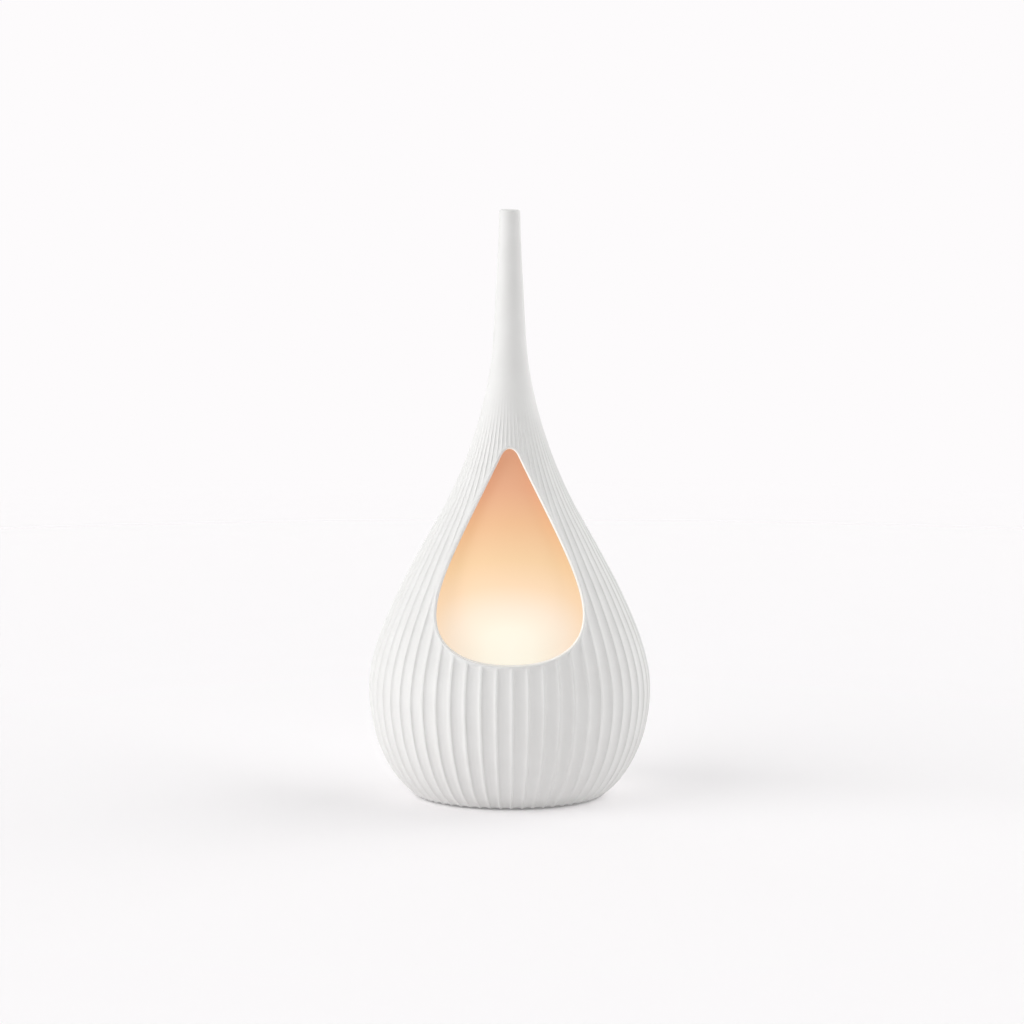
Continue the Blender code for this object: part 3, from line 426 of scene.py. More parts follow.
def bump(tree, shader, scale, distance, strength):
    """Fine grain; distance is its height in metres."""
    grain = noise(tree, scale)
    node = tree.nodes.new("ShaderNodeBump")
    fill(node, {"Strength": strength, "Distance": distance})
    tree.links.new(grain.outputs["Fac"], node.inputs["Height"])
    tree.links.new(node.outputs["Normal"], shader.inputs["Normal"])


def vary_roughness(tree, shader, scale, low, high):
    """Roughness that drifts between low and high."""
    cloud = noise(tree, scale, detail=2.0)
    tree.links.new(spread(tree, cloud.outputs["Fac"], 0.3, 0.7, low, high), shader.inputs["Roughness"])


# Light painted on the window's thin inner edge: the hood's glow on it, and a painted highlight where the
# edge faces the main lamp.
RIM_LIGHT = linear(255, 244, 226)
RIM_LIGHT_MOST = 0.22
RIM_LIGHT_LEAST = 0.05
RIM_LIGHT_WIDTH = (0.25, 0.6)


def bisque():
    """Unglazed white ceramic: a powdery grain with faint clouding, and light painted along the window's
    edge.
    """
    material, tree, shader = principled("bisque_ceramic", (0.8, 0.798, 0.785, 1.0), 0.62)
    mottle(tree, shader, (0.79, 0.787, 0.774, 1.0), (0.81, 0.808, 0.796, 1.0), 40.0)
    vary_roughness(tree, shader, 90.0, 0.55, 0.7)
    bump(tree, shader, 2600.0, 0.00005, 0.35)
    fill(shader, {"Specular IOR Level": 0.3, "Emission Color": RIM_LIGHT})
    edge = tree.nodes.new("ShaderNodeAttribute")
    edge.attribute_name = "painted_rim_light"
    tree.links.new(edge.outputs["Fac"], shader.inputs["Emission Strength"])
    return material


# The hood's glow, painted as emission: how far each colour lies from the bright spot, in parts of
# GLOW_REACH.
# Round the hood the distance grows by GLOW_TURN times the sine of half the angle, up to GLOW_SIDE.
GLOW_BASE = 0.107
GLOW_REACH = 0.121
GLOW_SIDE = 0.25
GLOW_TURN = 0.54
GLOW_STOPS = (
    (0.0, (240, 239, 225)),
    (0.07, (240, 237, 222)),
    (0.18, (239, 224, 205)),
    (0.30, (235, 207, 174)),
    (0.43, (228, 195, 153)),
    (0.61, (221, 175, 133)),
    (0.79, (211, 154, 121)),
    (0.92, (203, 146, 115)),
    (1.0, (202, 148, 119)),
)
GLOW_STRENGTH = 1.0


def frosted_painted_glow():
    """Frosted plastic with the lamps' light painted on as a warm glow: cream at the lamps, peach towards
    the top.
    """
    material, tree, shader = principled("frosted_plastic", (0.2, 0.13, 0.085, 1.0), 0.6)
    x, y, z = in_object(tree, "ShaderNodeSeparateXYZ").outputs
    front = maths(tree, "DIVIDE", maths(tree, "MULTIPLY", y, -1.0), length(tree, x, y))
    half_turn = maths(tree, "SQRT", maths(tree, "MULTIPLY", maths(tree, "SUBTRACT", 1.0, front), 0.5))
    side = maths(tree, "MINIMUM", maths(tree, "MULTIPLY", half_turn, GLOW_TURN), GLOW_SIDE)
    up = spread(tree, z, GLOW_BASE, GLOW_BASE + GLOW_REACH, 0.0, 1.0)
    stops = [(position, linear(*colour)) for position, colour in GLOW_STOPS]
    # Painted glow: the emission colour changes with the distance from the bright spot.
    glow = colour_ramp(tree, length(tree, side, up), stops)
    tree.links.new(glow, shader.inputs["Emission Color"])
    fill(shader, {"Emission Strength": GLOW_STRENGTH, "Specular IOR Level": 0.15})
    bump(tree, shader, 1800.0, 0.00003, 0.2)
    return material


def plain(name, colour, roughness, metallic=0.0):
    """Moulded or machined finish: slight colour drift, uneven gloss and fine grain."""
    material, tree, shader = principled(name, (*colour, 1.0), roughness, metallic)
    darker = tuple(c * 0.95 for c in colour)
    mottle(tree, shader, (*darker, 1.0), (*colour, 1.0), 60.0)
    vary_roughness(tree, shader, 120.0, roughness * 0.85, min(roughness * 1.15, 1.0))
    bump(tree, shader, 1500.0, 0.00004, 0.4)
    return material


LAMP_GLOW = (1.0, 0.72, 0.42, 1.0)
# The lamps' light on the tank, painted as emission: the heights over which it fades, and its colours from
# bottom to top.
TANK_GLOW_Z = (0.034, 0.078)
TANK_GLOW = (
    (0.0, (0.2, 0.11, 0.042, 1.0)),
    (0.45, (0.09, 0.048, 0.018, 1.0)),
    (1.0, (0.03, 0.016, 0.006, 1.0)),
)


def tank_plastic():
    """Milky plastic, with the lamps' warm light under its floor painted on as a glow that fades upwards."""
    material, tree, shader = principled("milky_tank", (0.74, 0.74, 0.73, 1.0), 0.35)
    mottle(tree, shader, (0.725, 0.725, 0.715, 1.0), (0.74, 0.74, 0.73, 1.0), 40.0)
    vary_roughness(tree, shader, 80.0, 0.32, 0.4)
    bump(tree, shader, 1500.0, 0.00004, 0.4)
    parts = in_object(tree, "ShaderNodeSeparateXYZ")
    up = spread(tree, parts.outputs["Z"], *TANK_GLOW_Z, 0.0, 1.0)
    tree.links.new(colour_ramp(tree, up, TANK_GLOW), shader.inputs["Emission Color"])
    fill(shader, {"Emission Strength": 1.0})
    return material


def lamp_lens():
    material, tree, shader = principled("lamp_lens", (0.95, 0.8, 0.5, 1.0), 0.15)
    mottle(tree, shader, (0.9, 0.74, 0.42, 1.0), (0.95, 0.8, 0.5, 1.0), 300.0)
    vary_roughness(tree, shader, 200.0, 0.1, 0.2)
    fill(shader, {"Emission Color": LAMP_GLOW, "Emission Strength": 3.0})
    return material


def circuit_board():
    """Green resist over copper tracks."""
    material, tree, shader = principled("circuit_board", (0.02, 0.13, 0.05, 1.0), 0.35)
    tracks = in_object(tree, "ShaderNodeTexBrick")
    fill(tracks, {"Scale": 260.0, "Mortar Size": 0.06, "Mortar": (0.05, 0.24, 0.09, 1.0)})
    fill(tracks, {"Color1": (0.012, 0.11, 0.04, 1.0), "Color2": (0.016, 0.125, 0.048, 1.0)})
    tree.links.new(tracks.outputs["Color"], shader.inputs["Base Color"])
    bump(tree, shader, 900.0, 0.00003, 0.3)
    return material


# The plain finishes: colour, roughness and, where it isn't 0, metallic.
PLAIN = {
    "housing_plastic": ((0.78, 0.78, 0.77), 0.45),
    "cover_plastic": ((0.6, 0.6, 0.59), 0.5),
    "button_plastic": ((0.85, 0.85, 0.84), 0.3),
    "dark_plastic": ((0.03, 0.03, 0.033), 0.45),
    "grey_rubber": ((0.15, 0.15, 0.15), 0.85),
    "white_silicone": ((0.75, 0.75, 0.72), 0.6),
    "screw_steel": ((0.6, 0.6, 0.6), 0.3, 1.0),
    "bracket_aluminium": ((0.7, 0.7, 0.71), 0.35, 1.0),
    "heat_sink_aluminium": ((0.65, 0.65, 0.66), 0.4, 1.0),
    "capacitor_can": ((0.6, 0.6, 0.62), 0.3, 1.0),
    "transducer_brass": ((0.7, 0.5, 0.22), 0.3, 1.0),
    "ferrite": ((0.05, 0.05, 0.05), 0.7),
    "lead_sheath": ((0.3, 0.3, 0.3), 0.5),
    "float_foam": ((0.85, 0.85, 0.82), 0.7),
}
# The finish of each material slot.
LOOKS = {
    "bisque_ceramic": bisque(),
    "frosted_plastic": frosted_painted_glow(),
    "tank_plastic": tank_plastic(),
    "lamp_lens": lamp_lens(),
    "circuit_board": circuit_board(),
}
LOOKS.update((name, plain(name, *look)) for name, look in PLAIN.items())


# -------------------- outer shell

# Half a rib, in parts of the pitch: the crest with its rounded edge, then the hollow of an ellipse.
CREST_HALF = 0.09
CREST_EDGE = ((0.6, 0.0), (0.86, 0.05), (1.0, 0.15))
HOLLOW_SHARES = (0.03, 0.1, 0.25, 0.5)
RIM_WIDTH = 1.7
RIM_CUT = 0.9
HOLLOW_END = 2.0
WINDOW_STEPS = 60
WINDOW_POINTS = 240
RIM_POINTS = 420
NOTCH_POINTS = 160
NEAR_OPENING = 9.0
SOLE_R = 57.0
BAND_CLEAR_R = 59.8
FOOT_ROUND = ((0.0, 1.0), (0.15, 0.5), (0.5, 0.13), (1.3, 0.0))
FOOT_SCALLOP = 0.6
TIP_ROUND = ((1.5, 0.02), (1.0, 0.15), (0.6, 0.4), (0.3, 0.7), (0.1, 1.05), (0.0, 1.4))
# The rear notch: half its width, its top and its corners' radius.
NOTCH = (24.0, 31.0, 13.0)
# Where cutters for the front and the rear start and end along Y.
FRONT_CUT = (-130.0, -8.0)
REAR_CUT = (45.0, 130.0)

# Teardrop window: outline points with their handles, in X and Z.
WINDOW = (
    ((0.0, 228.0), (3.2, 228.0), (4.9, 225.2), (6.3, 222.3)),
    ((6.3, 222.3), (29.7, 176.3), (47.1, 146.0), (47.1, 126.0)),
    ((47.1, 126.0), (47.1, 106.0), (30.0, 96.5), (0.0, 96.5)),
)


def window_outline(count):
    """The teardrop as evenly spaced points, anticlockwise from its tip, with outward normals."""
    t = np.linspace(0.0, 1.0, WINDOW_STEPS, endpoint=False)[:, None]
    right = []
    for a, b, c, d in np.array(WINDOW, float):
        right.append(a * (1 - t) ** 3 + 3 * b * t * (1 - t) ** 2 + 3 * c * t * t * (1 - t) + d * t**3)
    right = np.concatenate(right)
    left = right[1:][::-1] * (-1, 1)
    foot = np.array([[WINDOW[-1][-1][0], WINDOW[-1][-1][1]]])
    return evenly(np.concatenate([right, foot, left]), count, True)


def notch_outline(count):
    """The rear notch's arch, from foot to foot, as evenly spaced points with outward normals."""
    half, top, corner = NOTCH
    foot = SHELL_FOOT + 0.4
    corners = ((half, foot, 0), (half, top, corner), (-half, top, corner), (-half, foot, 0))
    return evenly(rounded(corners, False, 24), count, False)


def beyond(outline, x, height):
    """0 on an opening and its rim, rising to 1 where the hollows have their full depth."""
    bottom, top = outline[:, 1].min(), outline[:, 1].max()
    if not bottom - NEAR_OPENING < height < top + NEAR_OPENING:
        return np.ones_like(x)
    apart = np.hypot(x[:, None] - outline[None, :, 0], height - outline[None, :, 1]).min(axis=1)
    level = outline[outline[:, 0] >= 0]
    level = level[np.argsort(level[:, 1])]
    half = np.interp(height, level[:, 1], level[:, 0], right=0.0)
    inside = (np.abs(x) < half) & (height > bottom - 1.0)
    apart = np.where(inside, 0.0, apart)
    return ease(RIM_WIDTH - 0.3, RIM_WIDTH + HOLLOW_END, apart)


def rib_columns():
    """Angle and share of flute depth of every column of the shell's mesh."""
    half = [(CREST_HALF * share, depth) for share, depth in CREST_EDGE]
    for u in HOLLOW_SHARES:
        half.append((CREST_HALF + u * (0.5 - CREST_HALF), math.sqrt(1 - (1 - u) ** 2)))
    row = [(-share, depth) for share, depth in reversed(half)] + half + [(0.5, 1.0)]
    pitch = 2 * math.pi / RIBS
    angles = [(rib + share) * pitch + RIB_PHASE - math.pi / 2 for rib in range(RIBS) for share, _ in row]
    return np.array(angles), np.tile([depth for _, depth in row], RIBS)


def shell_levels():
    """Heights of the outer rings, closer together where hollows end at the notch and the window."""
    foot = np.arange(SHELL_FOOT + 2.0, 25.0, 4.4)
    lintel = np.arange(27.0, 38.5, 1.6)
    low = np.arange(41.0, 84.0, 4.6)
    sill = np.arange(84.5, 100.0, 1.2)
    belly = np.arange(101.5, 285.0, 3.6)
    neck = np.linspace(288.0, SHELL_TIP - 2.2, 12)
    return np.concatenate([foot, lintel, low, sill, belly, neck])


def shell_solid():
    """The fluted outside as one solid, from its rounded foot to the tip."""
    angles, shares = rib_columns()
    window, _ = window_outline(WINDOW_POINTS)
    notch, _ = notch_outline(NOTCH_POINTS)
    rings = []

    def ring(height, inset=0.0, scallop=0.0):
        crest = crest_radius(height)
        x = crest * np.cos(angles)
        open_hollow = np.where(np.sin(angles) < 0, beyond(window, x, height), beyond(notch, x, height))
        radius = crest - inset - flute_depth(height) * shares * open_hollow
        z = height + scallop * shares * open_hollow
        rings.append(np.stack([radius * np.cos(angles), radius * np.sin(angles), z], axis=1))

    sole = np.full(len(angles), SHELL_FOOT + 0.2)
    rings.append(np.stack([SOLE_R * np.cos(angles), SOLE_R * np.sin(angles), sole], axis=1))
    for height, inset in FOOT_ROUND:
        ring(SHELL_FOOT + height, inset, FOOT_SCALLOP * (1 - height / FOOT_ROUND[-1][0]))
    for height in shell_levels():
        ring(height)
    for height, inset in TIP_ROUND:
        ring(SHELL_TIP - height, inset)
    return capped_solid("shell_solid", rings)


def shell_core():
    """What is cut out of the shell: the rebate and ledge at the foot, the belly and the neck's bore."""
    tip = inner_radius(SHELL_TIP)
    profile = [(62.0, -1.5), (59.2, SHELL_FOOT + 0.6), (59.2, 3.5), (58.9, 3.8)]
    profile += [(57.3, 3.8), (57.0, 4.1), (57.0, 5.5)]
    heights = np.concatenate([np.arange(12.0, 300.0, 9.0), np.arange(306.0, SHELL_TIP - 2.0, 14.0)])
    profile += list(zip(inner_radius(heights), heights))
    profile += [(tip, SHELL_TIP - 0.8), (tip + 0.05, SHELL_TIP - 0.3)]
    profile += [(tip + 0.3, SHELL_TIP + 0.3), (tip + 0.3, SHELL_TIP + 4.0)]
    return capped_solid("shell_core", turned_rings(profile, 112))


def on_surface(x, z, radius_of, lift, side):
    """Points on a turned surface at (x, z), moved out along its normal; side is -1 in front, 1 behind."""
    radius = radius_of(z)
    y = side * np.sqrt(np.maximum(radius**2 - x**2, 0.0))
    slope = (radius_of(z + 0.1) - radius_of(z - 0.1)) / 0.2
    normal = np.stack([x / radius, y / radius, -slope], axis=1)
    normal /= np.linalg.norm(normal, axis=1)[:, None]
    return np.stack([x, y, z], axis=1) + normal * lift


def level_prism(name, outline, start, end):
    """A cutter along Y, from start to end, over an outline in X and Z."""
    count = len(outline)
    points = [(x, y, z) for y in (start, end) for x, z in outline]
    faces = [list(range(count)), list(range(2 * count - 1, count - 1, -1))]
    for i in range(count):
        j = (i + 1) % count
        faces.append([i, j, count + j, count + i])
    return finish_mesh(name, points, faces)


def window_prism(grow):
    """The window's cutter, its outline moved outwards by grow."""
    outline, normal = window_outline(WINDOW_POINTS)
    return level_prism("window_prism", outline + normal * grow, *FRONT_CUT)


# Section of the smooth bands round the openings: distance from the edge, and height over the crests.
RIM_SECTION = ((0.0, -1.3), (0.08, -0.85), (0.25, -0.42), (0.48, -0.1), (0.75, 0.08), (1.1, 0.14))
RIM_SECTION += ((1.42, 0.03), (1.6, -0.16), (RIM_WIDTH, -0.5))


def rim_lines(outline, normal, inner, side):
    """Lines that run along an opening's band, all round its section."""
    lines = []
    for out, lift in RIM_SECTION:
        lines.append(on_surface(*(outline + normal * out).T, crest_radius, lift, side))
    for out in (RIM_WIDTH, 0.0):
        lines.append(on_surface(*(outline + normal * out).T, inner, -0.3, side))
    return np.array(lines)


def window_rim():
    lines = rim_lines(*window_outline(RIM_POINTS), inner_radius, -1)
    return ring_solid("window_rim", lines, angle=50.0)


def notch_rim():
    """The band over the rear notch; at the foot it stays clear of the bottom cover."""

    def inner(height):
        return np.maximum(inner_radius(height), BAND_CLEAR_R)

    lines = rim_lines(*notch_outline(120), inner, 1)
    return capped_solid("notch_rim", lines.transpose(1, 0, 2), angle=50.0)


def arch_prism(name, half, top, corner, start, end, low=-5.0):
    """A cutter along Y with a square foot and round shoulders."""
    right = [(half, low)]
    for a in np.linspace(0, math.pi / 2, 12):
        x, z = polar(corner, a)
        right.append((half - corner + x, top - corner + z))
    left = [(-x, z) for x, z in reversed(right)]
    return level_prism(name, right + left, start, end)


def paint_rim_light(shell):
    """Paints light on the points of the window's inner edge: the hood's glow, and a highlight strongest on
    the far side from the main lamp.
    """
    outline, normal = window_outline(RIM_POINTS)
    points = np.empty(3 * len(shell.data.vertices))
    shell.data.vertices.foreach_get("co", points)
    points = points.reshape(-1, 3) / MM
    flat = points[:, (0, 2)]
    low, high = outline.min(axis=0) - 3.0, outline.max(axis=0) + 3.0
    near = (points[:, 1] < 0) & ((flat > low) & (flat < high)).all(axis=1)
    apart = flat[near][:, None] - outline[None]
    closest = (apart**2).sum(axis=2).argmin(axis=1)
    apart = apart[np.arange(len(closest)), closest]
    right, up = normal[closest].T
    # Painted highlight: edges facing the main lamp, and the top edge under the hood's glow, get the most.
    facing = ease(-0.2, 0.7, right + 0.5 * np.maximum(up, 0.0))
    most = RIM_LIGHT_LEAST + (RIM_LIGHT_MOST - RIM_LIGHT_LEAST) * facing
    out = np.maximum((apart * normal[closest]).sum(axis=1), np.abs(apart).max(axis=1) * 0.7)
    light = np.zeros(len(points))
    light[near] = most * (1.0 - ease(*RIM_LIGHT_WIDTH, out))
    attribute = shell.data.attributes.new("painted_rim_light", "FLOAT", "POINT")
    attribute.data.foreach_set("value", light)


def outer_shell():
    shell = shell_solid()
    boolean(shell, shell_core(), "DIFFERENCE")
    boolean(shell, window_prism(RIM_CUT), "DIFFERENCE")
    grown_notch = [size + RIM_CUT for size in NOTCH]
    boolean(shell, arch_prism("notch_prism", *grown_notch, *REAR_CUT), "DIFFERENCE")
    boolean(shell, window_rim(), "UNION")
    boolean(shell, notch_rim(), "UNION")
    paint_rim_light(shell)
    shell.name = "ceramic_shell"
    show(shell, "shell", ["outer_shell"], "bisque_ceramic", 40.0)


# -------------------- mist hood

HOOD = (
    (76.1, 55.6),
    (100.0, 55.6),
    (118.0, 55.5),
    (134.0, 53.8),
    (150.0, 49.6),
    (168.0, 43.0),
    (190.0, 32.8),
    (215.0, 21.0),
    (232.0, 12.6),
    (243.0, 8.4),
    (252.0, 7.5),
    (262.0, 7.5),
)
HOOD_WALL = (1.9, 1.5)
HOOD_TAPER = (200.0, 245.0)


def mist_hood():
    """The hood's outside, thinner towards its chimney, with rounded rims at both ends."""
    thick, thin = HOOD_WALL
    heights = np.concatenate([np.linspace(77.0, 244.0, 70), np.linspace(247.0, 261.4, 5)])
    outside = [(float(hermite(HOOD, z)), z) for z in heights]
    inside = [(r - thick + (thick - thin) * float(ease(*HOOD_TAPER, z)), z) for r, z in outside[::-2]]
    profile = [(54.4, 76.1), (55.2, 76.1), (55.55, 76.4)] + outside
    profile += [(7.3, 261.9), (6.9, 262.0), (6.3, 262.0), (6.05, 261.7)] + inside + [(53.75, 76.5)]
    hood = ring_solid("frosted_mist_hood", turned_rings(profile, 128))
    show(hood, "hood", ["mist_hood"], "frosted_plastic")


# -------------------- base unit: shapes


def turned(name, corners, columns=128, at=(0.0, 0.0)):
    """A solid of revolution about a vertical axis, its first and last corner closed by flat caps."""
    rings = np.array(turned_rings(rounded(corners, False), columns)) + (*at, 0.0)
    return capped_solid(name, rings)


def turned_ring(name, corners, columns=128, at=(0.0, 0.0)):
    """A ring about a vertical axis, with a closed section."""
    rings = np.array(turned_rings(rounded(corners, True), columns)) + (*at, 0.0)
    return ring_solid(name, rings)


def post(name, radius, low, high, at=(0.0, 0.0), edge=0.3, columns=48):
    """An upright round post with softened ends."""
    corners = ((radius / 4, high, 0), (radius, high, edge), (radius, low, edge), (radius / 4, low, 0))
    return turned(name, corners, columns, at)


def prism(name, outline, low, high):
    """An upright prism over an outline in X and Y."""
    rings = [[(x, y, level) for x, y in outline] for level in (low, high)]
    return capped_solid(name, rings)


def rounded_box(name, low, high, radius):
    """An upright block with rounded vertical edges."""
    around_it = ((low[0], low[1]), (high[0], low[1]), (high[0], high[1]), (low[0], high[1]))
    corners = [(x, y, radius) for x, y in around_it]
    return prism(name, rounded(corners, True), low[2], high[2])


def along_y(obj, x=0.0, z=0.0):
    """Lays a solid made along +Z down so that it runs along +Y, at a given place."""
    obj.data.transform(Matrix.Translation((x * MM, 0, z * MM)) @ Matrix.Rotation(math.radians(-90), 4, "X"))
    return obj


def swing(obj, turn, x=0.0):
    """Turns a solid about the Z axis and then moves it along X."""
    obj.data.transform(Matrix.Translation((x * MM, 0, 0)) @ Matrix.Rotation(turn, 4, "Z"))
    return obj


def together(name, objects):
    """Several solids that keep clear of each other, as one object."""
    work = bmesh.new()
    for obj in objects:
        work.from_mesh(obj.data)
        bpy.data.objects.remove(obj, do_unlink=True)
    mesh = bpy.data.meshes.new(name)
    work.to_mesh(mesh)
    work.free()
    return add(name, mesh)


def union(obj, *others):
    return boolean(obj, together("joined", others), "UNION")


def cut(obj, *others):
    return boolean(obj, together("cutters", others), "DIFFERENCE")


def show(obj, body, nodes, slot, angle=35.0):
    """Finishes a piece: it rides on a body, stands for its CAD nodes and takes a slot's look."""
    smooth(obj.data, angle)
    obj.data.materials.clear()
    obj.data.materials.append(LOOKS[slot])
    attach(obj, body)
    if nodes:
        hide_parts(*nodes)


def around(radius, degrees):
    """The four places at plus and minus one angle, front and back."""
    x, y = polar(radius, math.radians(degrees))
    return ((x, y), (-x, y), (-x, -y), (x, -y))


# -------------------- base unit: housing and controls

HOUSING_R = 56.4
HOUSING_INNER_R = 54.0
HOUSING_Z = (3.8, 36.0)
# Arches of the pod, its pocket and its hollow: half width, foot, top and corners' radius.
POD = (23.0, 4.0, 30.0, 12.0)
POCKET = (19.0, 10.0, 26.0, 8.0)
POD_HOLLOW = (19.5, 9.0, 27.5, 8.0)
POD_INSET = 0.6
POD_START_Y = 40.0
POD_BACK_R = 55.2
PANEL_Y = (61.5, 64.0)
CONTROL_Z = 17.0
BUTTON_X = 12.0
BUTTON_HOLE_R = 4.4
JACK_HOLE_R = 4.6
MARK_FACE = (65.8, 66.12)
# How far in from an edge, and how far below the surface, a softened edge runs.
SOFT_EDGE = ((0.0, -0.9), (0.07, -0.45), (0.3, -0.12), (0.8, 0.0))


def arch_outline(half, low, high, corner, grow=0.0, foot=1.5):
    """An arch with round shoulders, grown evenly; every arch has the same number of points."""
    half, low, high, corner = half + grow, low - grow, high + grow, corner + grow
    corners = ((half, low, foot), (half, high, corner), (-half, high, corner), (-half, low, foot))
    return np.array(rounded(corners, True, steps=10))


def pod():
    """The rear pod: it follows the shell's outside, with soft edges and a pocket for the controls."""

    def surface(height):
        return crest_radius(height) - flute_depth(height) - POD_INSET

    def on_pod(outline, lift):
        return on_surface(*outline.T, surface, lift, side=1)

    def flat(outline, y):
        return np.stack([outline[:, 0], np.full(len(outline), y), outline[:, 1]], axis=1)

    rings = [flat(arch_outline(*POD), POD_START_Y)]
    rings += [on_pod(arch_outline(*POD, grow=-inwards), lift) for inwards, lift in SOFT_EDGE]
    rings += [on_pod(arch_outline(*POCKET, grow=outwards), lift) for outwards, lift in reversed(SOFT_EDGE)]
    for inwards, lift in ((0.0, 0.5), (0.15, 0.15), (0.5, 0.0)):
        rings.append(flat(arch_outline(*POCKET, grow=-inwards), PANEL_Y[1] + lift))
    return cut(capped_solid("pod", rings), post("pod_back", POD_BACK_R, -5.0, 45.0, columns=160))


def base_housing():
    low, high = HOUSING_Z
    corners = ((HOUSING_R, high, 0.6), (HOUSING_R, low, 0.5))
    corners += ((HOUSING_INNER_R, low, 0.4), (HOUSING_INNER_R, high, 0.4))
    housing = turned_ring("round_housing", corners, 160)
    union(housing, pod())
    half, sill, lintel, corner = POD_HOLLOW
    cut(housing, arch_prism("hollow", half, lintel, corner, 35.0, PANEL_Y[0], low=sill))
    holes = []
    for x, radius in ((-BUTTON_X, BUTTON_HOLE_R), (0.0, JACK_HOLE_R), (BUTTON_X, BUTTON_HOLE_R)):
        holes.append(along_y(post("hole", radius, PANEL_Y[0] - 1, PANEL_Y[1] + 1), x, CONTROL_Z))
    cut(housing, *holes)
    show(housing, "base", ["base_housing"], "housing_plastic")


def button(name, x, sign):
    """A round cap with a collar behind the panel, and its sign."""
    corners = ((0.5, 66.0, 0), (4.0, 65.9, 0.8), (4.0, 61.2, 0.2), (5.2, 61.2, 0.25))
    corners += ((5.2, 60.3, 0.25), (0.5, 60.3, 0))
    cap = along_y(turned(f"{name}_cap", corners, 64), x, CONTROL_Z)
    show(cap, name, [name], "button_plastic")
    show(along_y(sign(f"{name}_sign"), x, CONTROL_Z), name, [], "dark_plastic")


def arc_bar(name, inner, outer, start, end):
    """Part of a flat ring, between two angles in degrees."""
    turns = np.radians(np.linspace(start, end, 25))
    outline = [polar(outer, a) for a in turns] + [polar(inner, a) for a in reversed(turns)]
    return prism(name, outline, *MARK_FACE)


def power_mark(name):
    """The usual on and off sign: a broken ring with a bar. Once laid down, -Y here points up."""
    bar = prism("bar", ((-0.17, -0.35), (0.17, -0.35), (0.17, -1.7), (-0.17, -1.7)), *MARK_FACE)
    return together(name, [arc_bar("ring", 1.1, 1.45, -50.0, 230.0), bar])


def light_mark(name):
    """A small sun: a disc and its rays."""
    turns = np.linspace(0.0, 2 * math.pi, 32, endpoint=False)
    pieces = [prism("disc", [polar(0.65, a) for a in turns], *MARK_FACE)]
    for ray in range(8):
        bar = prism("ray", ((1.0, -0.13), (1.6, -0.13), (1.6, 0.13), (1.0, 0.13)), *MARK_FACE)
        pieces.append(swing(bar, ray * math.pi / 4))
    return together(name, pieces)


def dc_jack():
    """The power socket: a body behind the panel, a bored nose and its pin."""
    body = rounded_box("power_socket", (-4.6, -4.6, 55.9), (4.6, 4.6, 61.2), 0.8)
    nose = turned("nose", ((0.5, 64.4, 0), (4.2, 64.4, 0.4), (4.2, 57.0, 0.2), (0.5, 57.0, 0)), 64)
    union(body, nose)
    bore = ((0.5, 65.0, 0), (3.3, 65.0, 0), (2.8, 64.0, 0.1), (2.8, 57.0, 0.2), (0.5, 57.0, 0))
    cut(body, turned("bore", bore, 64))
    show(along_y(body, 0.0, CONTROL_Z), "base", ["dc_jack"], "dark_plastic")
    pin = turned("socket_pin", ((0.2, 63.2, 0), (0.95, 63.2, 0.5), (0.95, 56.8, 0.1), (0.2, 56.8, 0)), 32)
    show(along_y(pin, 0.0, CONTROL_Z), "base", [], "screw_steel")


# -------------------- base unit: cover, feet and screws

COVER_Z = (1.5, 3.5)
SCREW_AT = (47.0, 75.0)
FOOT_AT = (45.0, 45.0)
FAN_X = -26.0
GRILLE_R = 17.5
GRILLE_SLOT = 2.8
GRILLE_PITCH = 5.0
BOARD_POSTS = ((7.0, -20.0), (7.0, 20.0), (39.0, -20.0), (39.0, 20.0))
BOARD_SCREWED = (BOARD_POSTS[0], BOARD_POSTS[3])
# Screws: radii of head and shank, then the heights of the head's end, its seat and the tip.
COVER_SCREW = (3.1, 1.3, 3.1, 4.7, 16.0)
BRACKET_SCREW = (2.4, 1.1, 30.9, 32.4, 37.0)
BOARD_SCREW = (2.4, 1.1, 13.4, 11.9, 6.0)


def grille_slots():
    """The fan's intake: parallel slots with round ends, as long as the round grille lets them be."""
    slots = []
    half_width = GRILLE_SLOT / 2
    for row in range(-3, 4):
        across = row * GRILLE_PITCH
        half = math.sqrt(GRILLE_R**2 - across**2)
        low = (FAN_X - half, across - half_width, COVER_Z[0] - 1)
        high = (FAN_X + half, across + half_width, COVER_Z[1] + 1)
        slots.append(rounded_box("slot", low, high, half_width * 0.98))
    return slots


def bottom_cover():
    """The round cover with a rim, screw bosses, board posts, foot recesses and the intake."""
    low, high = COVER_Z
    corners = ((0.5, high, 0), (51.9, high, 0.2), (51.9, 6.0, 0.4), (53.4, 6.0, 0.4), (53.4, high, 0.2))
    corners += ((58.6, high, 0.4), (58.6, low, 0.7), (0.5, low, 0))
    cover = turned("base_cover", corners, 160)
    bosses = [post("boss", 5.5, low + 1, 7.5, at) for at in around(*SCREW_AT)]
    for at in BOARD_POSTS:
        blind = at in BOARD_SCREWED
        foot = 5.5 if blind else 9.2
        corners = ((0.4, foot, 0), (1.5, foot, 0.1), (1.5, 9.7, 0.1), (2.6, 9.7, 0.3))
        corners += ((2.6, low + 1, 0), (0.4, low + 1, 0))
        bosses.append(turned("board_post", corners, 48, at))
    union(cover, *bosses)
    holes = [post("counterbore", 3.5, -1.0, 5.0, at, 0.0) for at in around(*SCREW_AT)]
    holes += [post("foot_recess", 5.8, -1.0, 2.1, at, 0.0) for at in around(*FOOT_AT)]
    cut(cover, *holes, *grille_slots())
    cut(cover, *[post("screw_hole", 1.8, 4.0, 9.0, at, 0.0) for at in around(*SCREW_AT)])
    show(cover, "base", ["bottom_cover"], "cover_plastic")


